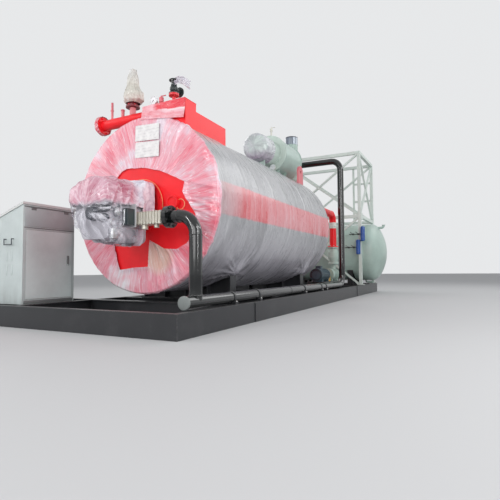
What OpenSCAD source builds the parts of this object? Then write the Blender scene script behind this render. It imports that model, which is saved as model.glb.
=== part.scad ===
// Packaged steam boiler on a steel skid, with its burner, gas line, feed pump, water tank and control desk
// The origin is the middle of the skid's underside, the burner faces -Y and +Z is up

/* [Skid] */
// Width of the skid
skid_w = 2450; // [2350:10:2700]
// Height of the skid's channels
skid_h = 250; // [200:10:320]
// Width of the channels' flanges
flange_w = 80; // [70:1:100]
// Thickness of the channels' webs
web_t = 9; // [6:0.5:14]
// Thickness of the channels' flanges
flange_t = 12; // [8:0.5:18]
// Width of the flanges of the cross beams
cross_w = 116; // [90:1:160]
// Distance from the shell's front to the first plain cross beam
first_beam = 275; // [250:5:320]
// Spacing of the plain cross beams
cross_pitch = 1225; // [1200:5:1240]
// Distance from the shell's front to the first stiffening plate
plate_front = 710; // [650:10:800]
// Distance from the last stiffening plate to the tank's axis
plate_rear = 1690; // [1600:10:1800]
// Length of the frame that carries the control desk
outrigger_len = 1300; // [1150:10:1600]

/* [Boiler] */
// Diameter over the cladding
shell_d = 2210; // [2050:10:2300]
// Length of the clad shell
shell_len = 4300; // [4100:10:4500]
// Clear height between skid and shell
shell_lift = 135; // [110:5:200]
// Distance from the skid's front to the shell's front
front_setback = 950; // [900:10:1050]
// Thickness of the front and rear plates
end_plate_t = 30; // [20:1:45]
// Distance from the shell's front to the front saddle
saddle_front = 950; // [850:10:1100]
// Distance from the shell's rear to the rear saddle
saddle_rear = 640; // [560:10:800]
// Length of each saddle along the boiler
saddle_len = 180; // [140:5:240]
// Width of the saddles across the boiler
saddle_span = 1500; // [1300:10:1640]
// Thickness of the saddles' plates
saddle_t = 16; // [10:1:25]
// Distance between the lifting lugs
lug_span = 1110; // [1000:10:1240]
// Thickness of the lifting lugs
lug_t = 40; // [25:1:50]
// Radius of the holes in the lifting lugs
lug_hole_r = 35; // [25:1:45]

/* [Top fittings] */
// Width of the valve box across the boiler
box_w = 660; // [600:10:760]
// Offset of the valve box's left wall from the boiler's centre
box_left = 30; // [0:5:60]
// Length of the valve box along the boiler
box_len = 230; // [210:5:300]
// Height of the valve box over the shell's ridge
box_h = 150; // [145:5:220]
// Length of the lower box behind the valve box
trough_len = 730; // [500:10:900]
// Height of the lower box over the shell's ridge
trough_h = 50; // [30:2:90]
// Diameter of the steam header
header_d = 140; // [120:2:145]
// Length of the steam header outside the valve box
header_len = 800; // [740:10:900]
// Height of the safety valve over its flange
safety_h = 520; // [440:10:580]
// Distance of the main valve from the boiler's centre
valve_x = 369; // [340:1:420]
// Distance of the air valve from the boiler's centre
air_valve_x = 170; // [150:1:190]
// Distance of the pressure gauge from the boiler's centre
gauge_x = 56; // [40:1:80]
// Distance of the safety valve from the boiler's centre
safety_x = 310; // [240:1:380]
// Diameter of the valve's handwheel
wheel_d = 125; // [110:2:160]
// Diameter of the pressure gauge
gauge_d = 106; // [90:1:130]

/* [Burner] */
// Height of the burner's axis below the boiler's axis
burner_drop = 30; // [0:5:60]
// Diameter of the ring that holds the burner
burner_ring_d = 660; // [600:10:720]
// Diameter of the burner's head
burner_head_d = 360; // [320:5:400]
// Width of the burner's housing
burner_w = 540; // [480:10:560]
// Height of the burner's housing
burner_h = 690; // [600:10:720]
// Length of the burner's housing
burner_len = 560; // [500:10:600]
// Distance from the front plate to the burner's housing
burner_gap = 250; // [200:5:280]
// Diameter of the burner's motor
burner_motor_d = 170; // [140:5:210]

/* [Gas line] */
// Outside diameter of the gas pipe
pipe_d = 140; // [114:1:150]
// Distance of the gas pipe's axis from the skid's side
pipe_inset = 136; // [125:1:150]
// Radius of the gas pipe's bends
bend_r = 210; // [190:5:230]
// Height of the gas inlet at the burner
gas_h = 1235; // [1180:5:1290]
// Distance from the skid's front to the burner's gas pipe
gas_front = 500; // [470:5:540]
// Distance from the shell's rear to the upright gas pipe
gas_rear = 1080; // [1060:5:1120]
// Height of the gas pipe that crosses over the shell
gas_top = 3160; // [3000:10:3200]
// Length of the gas pipe that crosses over the shell
gas_cross_len = 1500; // [1300:10:1700]
// Thickness of the pads under the gas pipe
pipe_pad_t = 6; // [3:1:12]

/* [Economizer] */
// Diameter of the economizer
drum_d = 754; // [680:2:800]
// Length of the economizer
drum_len = 930; // [800:10:1000]
// Clear height between shell and economizer
drum_gap = 98; // [80:2:130]
// How far the economizer reaches past the shell's rear
drum_past = 450; // [400:10:480]
// Diameter of the economizer's front cover
cover_d = 500; // [440:5:560]
// Length of the economizer's front cover
cover_len = 670; // [560:10:760]
// Diameter of the flue pipe
flue_d = 290; // [250:2:294]
// Wall of the flue pipe
flue_wall = 5; // [3:0.5:10]
// Radius of the flue's bend
flue_bend_r = 230; // [210:5:240]
// Length of the straight flue pipe over its bend
stack_len = 290; // [200:5:400]
// Height of the bare collar at the flue's top
collar_h = 190; // [150:5:220]

/* [Feed pump] */
// Distance of the pump's axis from the skid's centre line
pump_x = 600; // [560:10:640]
// Distance from the shell's rear to the pump motor
pump_gap = 700; // [680:5:800]
// Height of the pump's axis over the skid
pump_h = 285; // [275:5:290]
// Diameter of the pump's motor
motor_d = 310; // [280:5:330]
// Length of the pump's motor
motor_len = 650; // [590:10:700]
// Length of the coupling between motor and pump
coupling_len = 180; // [160:5:200]
// Length of the pump
pump_len = 620; // [560:10:660]
// Height of the pump's discharge flange over its axis
discharge_h = 260; // [230:5:300]
// Diameter of the suction pipe
suction_d = 114; // [90:1:118]
// Diameter of the feed pipe
feed_d = 170; // [140:2:180]
// Height of the feed pipe's inlet over the boiler's axis
feed_rise = 560; // [500:10:600]

/* [Water tank] */
// Diameter of the water tank
tank_d = 1560; // [1440:5:1570]
// Distance from the skid's side to the end of the tank's straight shell
tank_side = 5; // [0:1:30]
// Wall of the tank
tank_wall = 8; // [5:0.5:12]
// Clear height between skid and tank
tank_lift = 110; // [90:5:150]
// Distance from the boiler's rear to the tank
tank_gap = 2900; // [2840:10:3000]
// Distance from the tank's axis to the skid's rear
tank_setback = 870; // [865:1:880]
// Distance between the tank's saddles
tank_saddle_span = 1560; // [1480:10:1700]

/* [Frame] */
// Width of the frame's posts and rails
post_w = 80; // [60:1:85]
// Distance from the skid's side to the middle of the frame's posts
post_side = 100; // [85:5:125]
// Distance between the frame's posts along the skid
frame_len = 1660; // [1655:1:1690]
// Height of the frame over the skid
frame_h = 3570; // [3400:10:3700]
// Height of the middle rails over the skid
mid_h = 1820; // [1790:5:1900]
// Width of the frame's diagonal bars
brace_w = 50; // [40:1:60]
// Thickness of the plates where the bars meet
gusset_t = 8; // [6:1:12]

/* [Control desk] */
// Width of the desk along the skid
desk_w = 760; // [700:10:820]
// Depth of the desk across the skid
desk_d = 745; // [700:5:760]
// Height of the desk's back
desk_h = 1265; // [1150:5:1350]
// Slope of the desk's top in degrees
desk_slope = 17; // [12:1:22]
// Distance from the skid's front to the desk
desk_setback = 170; // [150:5:220]

/* [Hidden] */
$fn = 64;
SEAT = 0.3;       // gap left at a curved seat
BIG = 4000;       // longer than any cut
CUT = 1;          // how far a cut runs past a face
JOINT = 24;       // thickness of a pipe flange
skid_len = front_setback + shell_len + tank_gap + tank_d / 2 + tank_setback;
outrigger_w = desk_d + 20;
right = skid_w / 2;
left = -skid_w / 2;
front = -skid_len / 2;
rear = skid_len / 2;
shell_r = shell_d / 2;
shell_z = skid_h + shell_lift + shell_r;
ridge_z = shell_z + shell_r;
shell_y0 = front + front_setback;
shell_y1 = shell_y0 + shell_len;
lug_y = shell_y1 - 135;
saddle_ys = [shell_y0 + saddle_front, shell_y1 - saddle_rear];
header_r = header_d / 2;
header_y = shell_y0 + 120;
header_z = ridge_z + header_r + 3;
header_x = -box_left;
box_top = ridge_z + box_h;
burner_z = shell_z - burner_drop;
face_y = shell_y0 - end_plate_t;
housing_y = face_y - burner_gap;
housing_z = burner_z - burner_h * 0.21;
air_cover_len = 150;
valve_neck = 110;
valve_stem_top = 170;
pipe_r = pipe_d / 2;
pipe_x = right - pipe_inset;
run_z = skid_h + pipe_pad_t + pipe_r;
gas_flange_t = 26;
gas_flange_x = pipe_x - bend_r - 154;
gas_y0 = front + gas_front;
gas_y1 = shell_y1 + gas_rear;
drum_r = drum_d / 2;
drum_z = ridge_z + drum_gap + drum_r;
drum_y1 = shell_y1 + drum_past;
drum_y0 = drum_y1 - drum_len;
drum_ring = 20;
flue_r = flue_d / 2;
elbow_y = drum_y1 + 150;
flue_y = elbow_y + flue_bend_r;
stack_z = drum_z + flue_bend_r;
stack_top = stack_z + stack_len + collar_h;
pump_y = shell_y1 + pump_gap;
pump_z = skid_h + pump_h;
motor_r = motor_d / 2;
coupling_y = pump_y + motor_len;
casing_y = coupling_y + coupling_len;
pump_end = casing_y + pump_len;
end_cover = 90;
discharge_y = pump_end - end_cover / 2;
suction_r = suction_d / 2;
feed_r = feed_d / 2;
check_len = 360;
tank_r = tank_d / 2;
tank_len = skid_w - 2 * tank_side;
tank_y = rear - tank_setback;
tank_z = skid_h + tank_lift + tank_r;
tank_foot = 370;
dish_flat = 40;
dish_crown = 1.6;
dish_knuckle = 0.3;
beam_ys = [for (i = [0:5]) shell_y0 + first_beam + i * cross_pitch];
frame_w = skid_w - 2 * post_side;
frame_y = [tank_y - frame_len / 2, tank_y + frame_len / 2];
frame_x = [-frame_w / 2, frame_w / 2];
frame_top = skid_h + frame_h;
mid_z = skid_h + mid_h;
foot_t = 12;
desk_x = left - 10;
desk_y = front + desk_setback;
lid_t = 30;
door_t = 18;
door_margin = 40;
door_z = 60;
door_h = desk_h - 400;

// Facets of a circle of radius r in a preview
function steps(r) = r > 300 ? 360 : r > 100 ? 128 : 64;

// Height of a dished end of radius r over its straight rim
function dish_rise(r) = r * (dish_crown - sqrt(pow(dish_crown - dish_knuckle, 2) - pow(1 - dish_knuckle, 2)));

// Cylinder along Y from y = 0
module along_y(r, len) rotate([-90, 0, 0]) cylinder(r = r, h = len, $fn = steps(r));

// Cylinder along X from x = 0
module along_x(r, len) rotate([0, 90, 0]) cylinder(r = r, h = len, $fn = steps(r));

// Quarter of a pipe bend in the XY plane, from the +X axis to the +Y axis
module quarter_bend(r, bend) rotate_extrude(angle = 90) translate([bend, 0]) circle(r = r);

// Space that the boiler's shell takes, with the seat gap
module shell_space() translate([0, shell_y0 - BIG / 2, shell_z]) along_y(shell_r + SEAT, shell_len + BIG);

// Ring of round holes or bolts
module ring_of(count, pcd) for (i = [0:count - 1]) rotate(360 / count * (i + 0.5)) translate([pcd / 2, 0, 0])
    children();

// Flange along Z, with bolt holes
module flange(r, t, bore, count, hole_r) difference() {
    cylinder(r = r, h = t);
    if (bore > 0) translate([0, 0, -CUT]) cylinder(r = bore, h = t + 2 * CUT);
    ring_of(count, (r - 2.2 * hole_r) * 2) translate([0, 0, -CUT]) cylinder(r = hole_r, h = t + 2 * CUT);
}

// Channel along +X, its web on the -Y side
module channel(len, cut_start, cut_end) difference() {
    rotate([90, 0, 90]) linear_extrude(len) polygon([[0, 0], [flange_w, 0], [flange_w, flange_t],
        [web_t, flange_t], [web_t, skid_h - flange_t], [flange_w, skid_h - flange_t], [flange_w, skid_h],
        [0, skid_h]]);
    if (cut_start) mitre();
    if (cut_end) translate([len, 0, 0]) mirror([1, 0, 0]) mitre();
}

// Cut at 45 degrees through a channel's end
module mitre() translate([0, 0, -CUT]) rotate(45) translate([-flange_w, 0, 0])
    cube([4 * flange_w, 4 * flange_w, skid_h + 2 * CUT]);

module skid_side_rails() color("#2b2b2e") {
    translate([right, front, 0]) rotate(90) channel(skid_len, true, true);
    translate([left, rear, 0]) rotate(-90) channel(skid_len - flange_w, true, false);
}

module skid_end_beams() color("#2b2b2e") {
    translate([left - outrigger_w, front, 0]) channel(skid_w + outrigger_w, true, true);
    translate([right, rear, 0]) rotate(180) channel(skid_w, true, true);
}

// Beam across the skid, its web coped into the rails
module cross_beam(y) translate([0, y, 0]) {
    inner = skid_w - 2 * flange_w;
    for (z = [0, skid_h - flange_t])
        translate([-inner / 2, -cross_w / 2, z]) cube([inner, cross_w, flange_t]);
    translate([web_t - skid_w / 2, -web_t / 2, flange_t])
        cube([skid_w - 2 * web_t, web_t, skid_h - 2 * flange_t]);
}

module skid_cross_beams() color("#2b2b2e") {
    for (y = beam_ys) cross_beam(y);
    for (y = saddle_ys) cross_beam(y);
    for (s = [-1, 1]) cross_beam(tank_y + s * tank_foot);
}

// Side frame under the desk: two channels and two bearers of bent plate
module desk_outrigger() color("#2b2b2e") {
    bearer = [outrigger_w - flange_w, 60, 100];
    wall = 8;
    translate([left - outrigger_w, front + outrigger_len, 0]) rotate(-90)
        channel(outrigger_len, true, true);
    translate([left, front + outrigger_len, 0]) rotate(180) channel(outrigger_w, false, true);
    for (y = [desk_y + 20, desk_y + desk_w - bearer.y - 20])
        translate([left - bearer.x, y, skid_h - bearer.z]) difference() {
            cube(bearer);
            translate([-CUT, wall, wall]) cube([bearer.x + 2 * CUT, bearer.y, bearer.z - 2 * wall]);
        }
}

// Upright stiffening plates on the outer faces of the rails
module rail_plates() color("#2b2b2e") {
    plate = [10, 100, skid_h - 12];
    for (s = [-1, 1], y = [shell_y0 + plate_front, tank_y - plate_rear])
        translate([s * right - (s < 0 ? plate.x : 0), y - plate.y / 2, 6]) cube(plate);
}

// Welded saddle: foot plate, web, ribs and the curved plate that the shell lies on
module saddle() {
    half = saddle_span / 2;
    foot_margin = 40;
    rib_margin = 8;
    ribs = 5;
    tip_z = shell_z - sqrt(pow(shell_r + saddle_t, 2) - half * half);
    rib_gap = (saddle_span - saddle_t) / (ribs - 1);
    difference() {
        union() {
            translate([-half - foot_margin, -saddle_len / 2, skid_h])
                cube([saddle_span + 2 * foot_margin, saddle_len, saddle_t]);
            translate([-half, -saddle_t / 2, skid_h]) cube([saddle_span, saddle_t, tip_z - skid_h]);
            for (i = [0:ribs - 1]) translate([-half + i * rib_gap, -saddle_len / 2 + rib_margin, skid_h])
                cube([saddle_t, saddle_len - 2 * rib_margin, tip_z - skid_h]);
            translate([0, -saddle_len / 2, shell_z]) intersection() {
                along_y(shell_r + saddle_t, saddle_len);
                translate([-half, 0, -BIG / 2]) cube([saddle_span, saddle_len, BIG / 2]);
            }
        }
        translate([0, -saddle_len, shell_z]) along_y(shell_r + SEAT, 2 * saddle_len);
    }
}

module boiler_saddles() color("#2b2b2e") for (y = saddle_ys) translate([0, y, 0]) saddle();

// Clad shell with narrow joints between its sheets
module shell_cladding() color("#a5a5a8") {
    sheets = 5;
    joint = 6;
    joint_depth = 3;
    step = shell_len / sheets;
    translate([0, shell_y0, shell_z]) rotate([-90, 0, 0]) difference() {
        cylinder(r = shell_r, h = shell_len, $fn = steps(shell_r));
        for (i = [1:sheets - 1]) translate([0, 0, i * step - joint / 2]) difference() {
            cylinder(r = shell_r + CUT, h = joint, $fn = steps(shell_r));
            translate([0, 0, -CUT])
                cylinder(r = shell_r - joint_depth, h = joint + 2 * CUT, $fn = steps(shell_r));
        }
    }
}

// Front tube plate with a raised face inside its stepped rim
module front_plate() color("#e8282d") translate([0, face_y, shell_z]) {
    rim = 36;
    step = 12;
    difference() {
        along_y(shell_r - 4, end_plate_t);
        translate([0, -CUT, 0]) difference() {
            along_y(shell_r, step + CUT);
            translate([0, -CUT, 0]) along_y(shell_r - 4 - rim, step + 3 * CUT);
        }
    }
}

// Round port with its bolted cover, right of the burner
module sight_port() color("#e8282d") translate([495, face_y, shell_z - 20]) rotate([90, 0, 0]) {
    r = 85;
    h = 60;
    glass_r = 62;
    glass_depth = 15;
    difference() {
        cylinder(r = r, h = h);
        translate([0, 0, h - glass_depth]) cylinder(r = glass_r, h = glass_depth + CUT);
    }
    ring_of(6, r + glass_r) cylinder(r = 5, h = h + 6);
}

// Rear plate with the round bolted door of the turning chamber and its plug
module rear_cover() color("#e8282d") translate([0, shell_y1, shell_z]) {
    door_r = 420;
    door_t = 60;
    along_y(shell_r - 4, end_plate_t);
    translate([0, end_plate_t, -120]) {
        along_y(door_r, door_t);
        translate([0, door_t, 0]) {
            along_y(door_r - 40, 25);
            rotate([-90, 0, 0]) ring_of(16, 2 * (door_r - 20)) cylinder(r = 12, h = 22);
            along_y(70, 55);
        }
    }
}

// Lifting lug, standing on the shell beside the economizer
module lug(s) {
    x = s * lug_span / 2;
    seat_z = shell_z + sqrt(shell_r * shell_r - pow(lug_span / 2 + lug_t / 2, 2));
    eye_h = 260;
    eye_r = 130;
    root = 60;
    difference() {
        union() {
            translate([x - lug_t / 2, -eye_r, seat_z - root]) cube([lug_t, 2 * eye_r, root + eye_h]);
            translate([x - lug_t / 2, 0, seat_z + eye_h]) along_x(eye_r, lug_t);
        }
        translate([x - lug_t, 0, seat_z + eye_h]) along_x(lug_hole_r, 2 * lug_t);
        translate([0, -BIG / 2, shell_z]) along_y(shell_r + SEAT, BIG);
    }
}

module lifting_lugs() color("#e8282d") for (s = [-1, 1]) translate([0, lug_y, 0]) lug(s);

// Box over the valves' branches, and the lower box behind it
module valve_box() color("#e8282d") difference() {
    union() {
        translate([-box_left, shell_y0, shell_z]) cube([box_w, box_len, box_top - shell_z]);
        translate([-box_left, shell_y0 + box_len, shell_z])
            cube([box_w, trough_len, ridge_z + trough_h - shell_z]);
    }
    shell_space();
}

// Header pipe with its blind flange
module steam_header() color("#e8282d") translate([header_x - header_len, header_y, header_z]) {
    flange_r = header_r * 1.7;
    along_x(header_r, header_len);
    translate([-JOINT, 0, 0]) rotate([0, 90, 0]) flange(flange_r, JOINT, 0, 8, 9);
    translate([-2 * JOINT, 0, 0]) along_x(flange_r, JOINT - SEAT);
}

// Stub that stands on the header at x, cut to the header's curve
module stub(x, r, h) difference() {
    translate([x, header_y, header_z]) cylinder(r = r, h = header_r + h);
    translate([x - BIG / 2, header_y, header_z]) along_x(header_r + SEAT, BIG);
}

// Two threaded stubs on the header, each with its cap
module header_stubs() color("#e8282d") for (k = [[681, 16, 230, 110], [487, 22, 80, 80]]) {
    stub(-k.x, k.y, k.z);
    translate([-k.x, header_y, header_z + header_r + k[3]]) cylinder(r = k.y + 6, h = 17);
}

// Spring-loaded safety valve: neck, flange, body, bonnet and cap
module safety_valve() color("#d9d6cc") {
    neck_h = 90;
    body_r = 105;
    bonnet_r = 52;
    cap_r = 34;
    outlet_z = 140;
    outlet_reach = 115;
    stub(-safety_x, 42, neck_h);
    translate([-safety_x, header_y, header_z + header_r + neck_h]) {
        rotate_extrude() polygon([[0, 0], [92, 0], [92, 22], [60, 26], [60, 60], [body_r, 90],
            [body_r, 190], [70, 214], [bonnet_r, 226], [bonnet_r, 370], [66, 376], [66, 392], [cap_r, 400],
            [cap_r, safety_h], [0, safety_h]]);
        translate([0, 0, outlet_z]) along_x(40, outlet_reach);
        translate([outlet_reach, 0, outlet_z]) along_x(60, 16);
    }
}

// Main steam valve: neck, two flanges, globe body with its outlet to the rear, bonnet and stem
module main_steam_valve() color("#e8282d") translate([valve_x, header_y, box_top]) {
    flange_r = 65;
    outlet_z = 70;
    reach = 105;
    cylinder(r = 22, h = valve_neck);
    translate([0, 0, valve_neck]) flange(flange_r, 22, 0, 4, 8);
    translate([0, 0, valve_neck + 22]) {
        flange(flange_r, 20, 0, 4, 8);
        translate([0, 0, 15]) cylinder(r = 30, h = 20);
        translate([0, 0, outlet_z]) sphere(r = 52);
        translate([0, 0, outlet_z]) along_y(32, reach);
        translate([0, reach, outlet_z]) rotate([-90, 0, 0]) flange(flange_r, 20, 28, 4, 8);
        translate([0, 0, 112]) cylinder(r = 38, h = 20);
        translate([0, 0, 130]) cylinder(r = 12, h = valve_stem_top - 130);
    }
}

module steam_handwheel() color("#1b1b1c")
    translate([valve_x, header_y, box_top + valve_neck + 22 + valve_stem_top + 12]) {
        rim = 9;
        hub = 20;
        spokes = 5;
        rotate_extrude() translate([wheel_d / 2 - rim, 0]) circle(r = rim);
        for (i = [0:spokes - 1]) rotate(i * 360 / spokes) translate([hub - 4, 0, 0])
            along_x(6, wheel_d / 2 - rim - hub + 4);
        cylinder(r = hub, h = 24, center = true);
    }

module pressure_gauge() color("#e4e4e2") translate([gauge_x, header_y, box_top]) {
    r = gauge_d / 2;
    stem_h = 60;
    depth = 36;
    cylinder(r = 9, h = stem_h);
    cylinder(r = 16, h = 14);
    translate([0, 0, stem_h + r - 4]) rotate([90, 0, 0]) {
        cylinder(r = r, h = depth, center = true);
        translate([0, 0, depth / 2]) difference() {
            cylinder(r = r + 3, h = 8);
            translate([0, 0, 3]) cylinder(r = r - 5, h = 6);
        }
    }
}

// Small lever valve beside the gauge
module air_valve() color("#b4b2a8") translate([air_valve_x, header_y, box_top]) {
    cylinder(r = 14, h = 70);
    translate([0, 0, 70]) cylinder(r = 30, h = 60);
    translate([0, 0, 130]) cylinder(r = 12, h = 24);
    translate([0, 0, 150]) along_x(7, 70);
}

// Ring that holds the burner, recessed inside its bolts
module burner_ring() color("#e8282d") translate([0, face_y, burner_z]) rotate([90, 0, 0]) {
    ring_t = 40;
    recess = 12;
    difference() {
        flange(burner_ring_d / 2, ring_t, 0, 12, 10);
        translate([0, 0, ring_t - recess]) cylinder(r = burner_ring_d / 2 - 60, h = recess + CUT);
    }
}

// Neck and square plate that carry the burner's housing
module burner_head() color("#b9b6bd") translate([0, face_y - 28, burner_z]) rotate([90, 0, 0]) {
    plate = burner_w * 0.92;
    plate_t = 34;
    corner = 40;
    neck_len = burner_gap - 28 - plate_t;
    translate([0, 0, SEAT]) cylinder(r = burner_head_d / 2, h = neck_len - SEAT);
    translate([0, 0, neck_len]) linear_extrude(plate_t) offset(r = corner)
        square(plate - 2 * corner, center = true);
}

// Housing outline, seen from the front: round top corners and a narrower foot
module housing_outline(w, h, r) hull() {
    translate([r - w / 2, h / 2 - r]) circle(r = r);
    translate([w / 2 - r, h / 2 - r]) circle(r = r);
    translate([r - w / 2, -h * 0.08]) circle(r = r);
    translate([w / 2 - r * 0.6, -h * 0.2]) circle(r = r * 0.6);
    translate([r * 0.6 - w * 0.3, r * 0.6 - h / 2]) circle(r = r * 0.6);
    translate([w / 2 - r * 0.6, r * 0.6 - h / 2]) circle(r = r * 0.6);
}

module burner_housing() color("#c9bfc6") translate([0, housing_y, housing_z])
    rotate([90, 0, 0]) linear_extrude(burner_len - air_cover_len) housing_outline(burner_w, burner_h, 110);

// Air inlet cover at the burner's front
module burner_air_cover() color("#d3bcc4")
    translate([0, housing_y - burner_len + air_cover_len, housing_z]) rotate([90, 0, 0])
        linear_extrude(air_cover_len) housing_outline(burner_w - 50, burner_h - 50, 100);

module burner_motor() color("#33353b")
    translate([50, housing_y - burner_len, housing_z - 35]) rotate([90, 0, 0]) {
        cylinder(r = burner_motor_d / 2, h = 56);
        translate([0, 0, 56]) cylinder(r = burner_motor_d / 2 - 14, h = 14);
    }

// Servo drive on its bracket at the burner's right side
module burner_actuator() color("#33353b")
    translate([burner_w / 2, gas_y0 - 98 - SEAT, gas_h - 100]) {
        bracket = [90, 8, 260];
        drive = [74, 110, 180];
        cube(bracket);
        translate([0, -drive.y, 20]) cube(drive);
    }

// Gas valve with a ribbed housing, and its spigot into the burner
module gas_valve() color("#b4b2a8") translate([burner_w / 2, gas_y0, gas_h]) {
    spigot = 40;
    body = gas_flange_x - burner_w / 2 - 2 * spigot;
    core = 120;
    ribs = 9;
    rib = [body / ribs - 14, 140, 145];
    along_x(pipe_r * 0.9, spigot);
    translate([spigot, 0, 0]) {
        translate([0, -core / 2, -core / 2]) cube([body, core, core]);
        for (i = [0:ribs - 1]) translate([i * body / ribs + 6, -rib.y / 2, -rib.z / 2]) cube(rib);
        translate([body * 0.25, 0, -core]) cylinder(r = 40, h = core);
        translate([body * 0.7, 0, -core * 0.9]) cylinder(r = 30, h = core * 0.9);
    }
    translate([spigot + body, 0, 0]) along_x(pipe_r, spigot);
}

// The pair of flanges between the gas valve and the pipe
module gas_flanges() color("#1b1b1c") for (k = [0, 1])
    translate([gas_flange_x + k * gas_flange_t, gas_y0, gas_h]) rotate([0, 90, 0])
        flange(pipe_r * 1.75, gas_flange_t, 0, 8, 10);

// Three bends of the gas pipe
module gas_bends() color("#1b1b1c") {
    for (k = [[gas_y0, gas_h], [gas_y1, gas_top]])
        translate([pipe_x - bend_r, k.x, k.y - bend_r]) rotate([90, 0, 0]) quarter_bend(pipe_r, bend_r);
    translate([pipe_x, gas_y1 - bend_r, run_z + bend_r]) rotate([0, 90, 0]) quarter_bend(pipe_r, bend_r);
}

// Straight lengths of the gas pipe, and the flange at its far end
module gas_pipes() color("#1b1b1c") {
    run_y0 = gas_y0 - pipe_r * 3;
    spool_x = gas_flange_x + 2 * gas_flange_t;
    translate([pipe_x, run_y0, run_z]) along_y(pipe_r, gas_y1 - bend_r - run_y0);
    difference() {
        translate([pipe_x, gas_y0, run_z]) cylinder(r = pipe_r, h = gas_h - bend_r - run_z);
        translate([pipe_x, run_y0, run_z]) along_y(pipe_r + SEAT, BIG);
    }
    translate([pipe_x, gas_y1, run_z + bend_r]) cylinder(r = pipe_r, h = gas_top - run_z - 2 * bend_r);
    translate([pipe_x - bend_r - gas_cross_len, gas_y1, gas_top]) {
        along_x(pipe_r, gas_cross_len);
        translate([-gas_flange_t, 0, 0]) rotate([0, 90, 0])
            flange(pipe_r * 1.75, gas_flange_t, pipe_r - 8, 8, 10);
    }
    translate([spool_x, gas_y0, gas_h]) along_x(pipe_r, pipe_x - bend_r - spool_x);
}

// Pads and straps that hold the gas pipe on the cross beams
module gas_pipe_clamps() color("#2b2b2e") {
    pad = [2 * pipe_r + 40, 60, pipe_pad_t + pipe_r * 0.35];
    strap_w = 30;
    strap_t = 8;
    for (y = [beam_ys[0], saddle_ys[0], beam_ys[2], saddle_ys[1], beam_ys[3]])
        translate([pipe_x, y, skid_h]) difference() {
            union() {
                translate([-pad.x / 2, -pad.y / 2, 0]) cube(pad);
                translate([0, -strap_w / 2, pipe_pad_t + pipe_r]) along_y(pipe_r + strap_t, strap_w);
            }
            translate([0, -BIG / 2, pipe_pad_t + pipe_r]) along_y(pipe_r + SEAT, BIG);
        }
}

// Drum with a rim at each end and the ring that the flue stands on
module economizer_drum() color("#aabeb4") translate([0, drum_y0, drum_z]) {
    rim_t = 20;
    along_y(drum_r, drum_len);
    for (y = [0, drum_len - rim_t]) translate([0, y, 0]) along_y(drum_r + 14, rim_t);
    translate([0, drum_len, 0]) along_y(flue_r + 70, drum_ring);
}

// Smaller front cover with a coned end
module economizer_cover() color("#a5a5a8") translate([0, drum_y0, drum_z]) rotate([90, 0, 0]) {
    rim_t = 20;
    cone = 100;
    cylinder(r = cover_d / 2 + 30, h = rim_t);
    translate([0, 0, rim_t]) cylinder(r = cover_d / 2, h = cover_len - cone - rim_t);
    translate([0, 0, cover_len - cone]) cylinder(r1 = cover_d / 2, r2 = cover_d / 2 - 60, h = cone);
}

// Plate across the ridge that carries a cylinder of radius r
module ridge_foot(y, r, w, t) difference() {
    translate([-w / 2, y - t / 2, shell_z]) cube([w, t, drum_z - shell_z]);
    shell_space();
    translate([0, y - t, drum_z]) along_y(r + SEAT, 2 * t);
}

// Three feet, and the neck that leads the flue gas from the shell into the drum
module economizer_feet() color("#aabeb4") {
    foot_w = 420;
    cover_foot_w = 260;
    neck_r = 140;
    ridge_foot(drum_y0 + 80, drum_r, foot_w, foot_t);
    ridge_foot(shell_y1 - 40, drum_r, foot_w, foot_t);
    ridge_foot(drum_y0 - cover_len + 200, cover_d / 2, cover_foot_w, foot_t);
    difference() {
        translate([0, shell_y1 - 220, shell_z]) cylinder(r = neck_r, h = drum_z - shell_z);
        shell_space();
        translate([0, drum_y0, drum_z]) along_y(drum_r + SEAT, drum_len);
    }
}

// Vent valve on top of the economizer, and the dial on its front
module economizer_fittings() color("#d6d6d4") {
    vent_y = drum_y0 + 140;
    vent_h = 150;
    difference() {
        translate([0, vent_y, drum_z]) cylinder(r = 18, h = drum_r + vent_h);
        translate([0, drum_y0, drum_z]) along_y(drum_r + SEAT, drum_len);
    }
    translate([0, vent_y, drum_z + drum_r + vent_h]) {
        cylinder(r = 30, h = 50);
        translate([0, 0, 50]) cylinder(r = 12, h = 40);
        translate([0, 0, 74]) along_x(7, 90);
    }
    translate([110, drum_y0 - SEAT, drum_z - drum_r * 0.8]) rotate([90, 0, 0]) {
        cylinder(r = 12, h = 40);
        translate([0, 0, 40]) cylinder(r = 60, h = JOINT);
    }
}

module flue_elbow() color("#aabeb4") {
    translate([0, drum_y1 + drum_ring, drum_z]) along_y(flue_r, elbow_y - drum_y1 - drum_ring);
    translate([0, elbow_y, stack_z]) rotate([0, 90, 0]) quarter_bend(flue_r, flue_bend_r);
}

// Tube along Z
module tube(r, wall, h) difference() {
    cylinder(r = r, h = h, $fn = steps(r));
    translate([0, 0, -CUT]) cylinder(r = r - wall, h = h + 2 * CUT, $fn = steps(r));
}

module stack_pipe() color("#aabeb4") translate([0, flue_y, stack_z]) tube(flue_r, flue_wall, stack_len);

module stack_collar() color("#9ea3a6") translate([0, flue_y, stack_top - collar_h])
    tube(flue_r, flue_wall, collar_h);

// Base frame of the pump set: two runners and a top plate
module pump_plinth() color("#2b2b2e") {
    plate_t = 12;
    plate_w = 360;
    runner_w = 60;
    margin = 40;
    top = pump_z - motor_r - plate_t;
    len = casing_y + pump_len - pump_y;
    translate([pump_x - plate_w / 2, pump_y - margin, 0]) {
        for (x = [0, plate_w - runner_w]) translate([x, 0, skid_h]) cube([runner_w, len, top - skid_h]);
        translate([0, 0, top]) cube([plate_w, len, plate_t]);
    }
}

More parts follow.
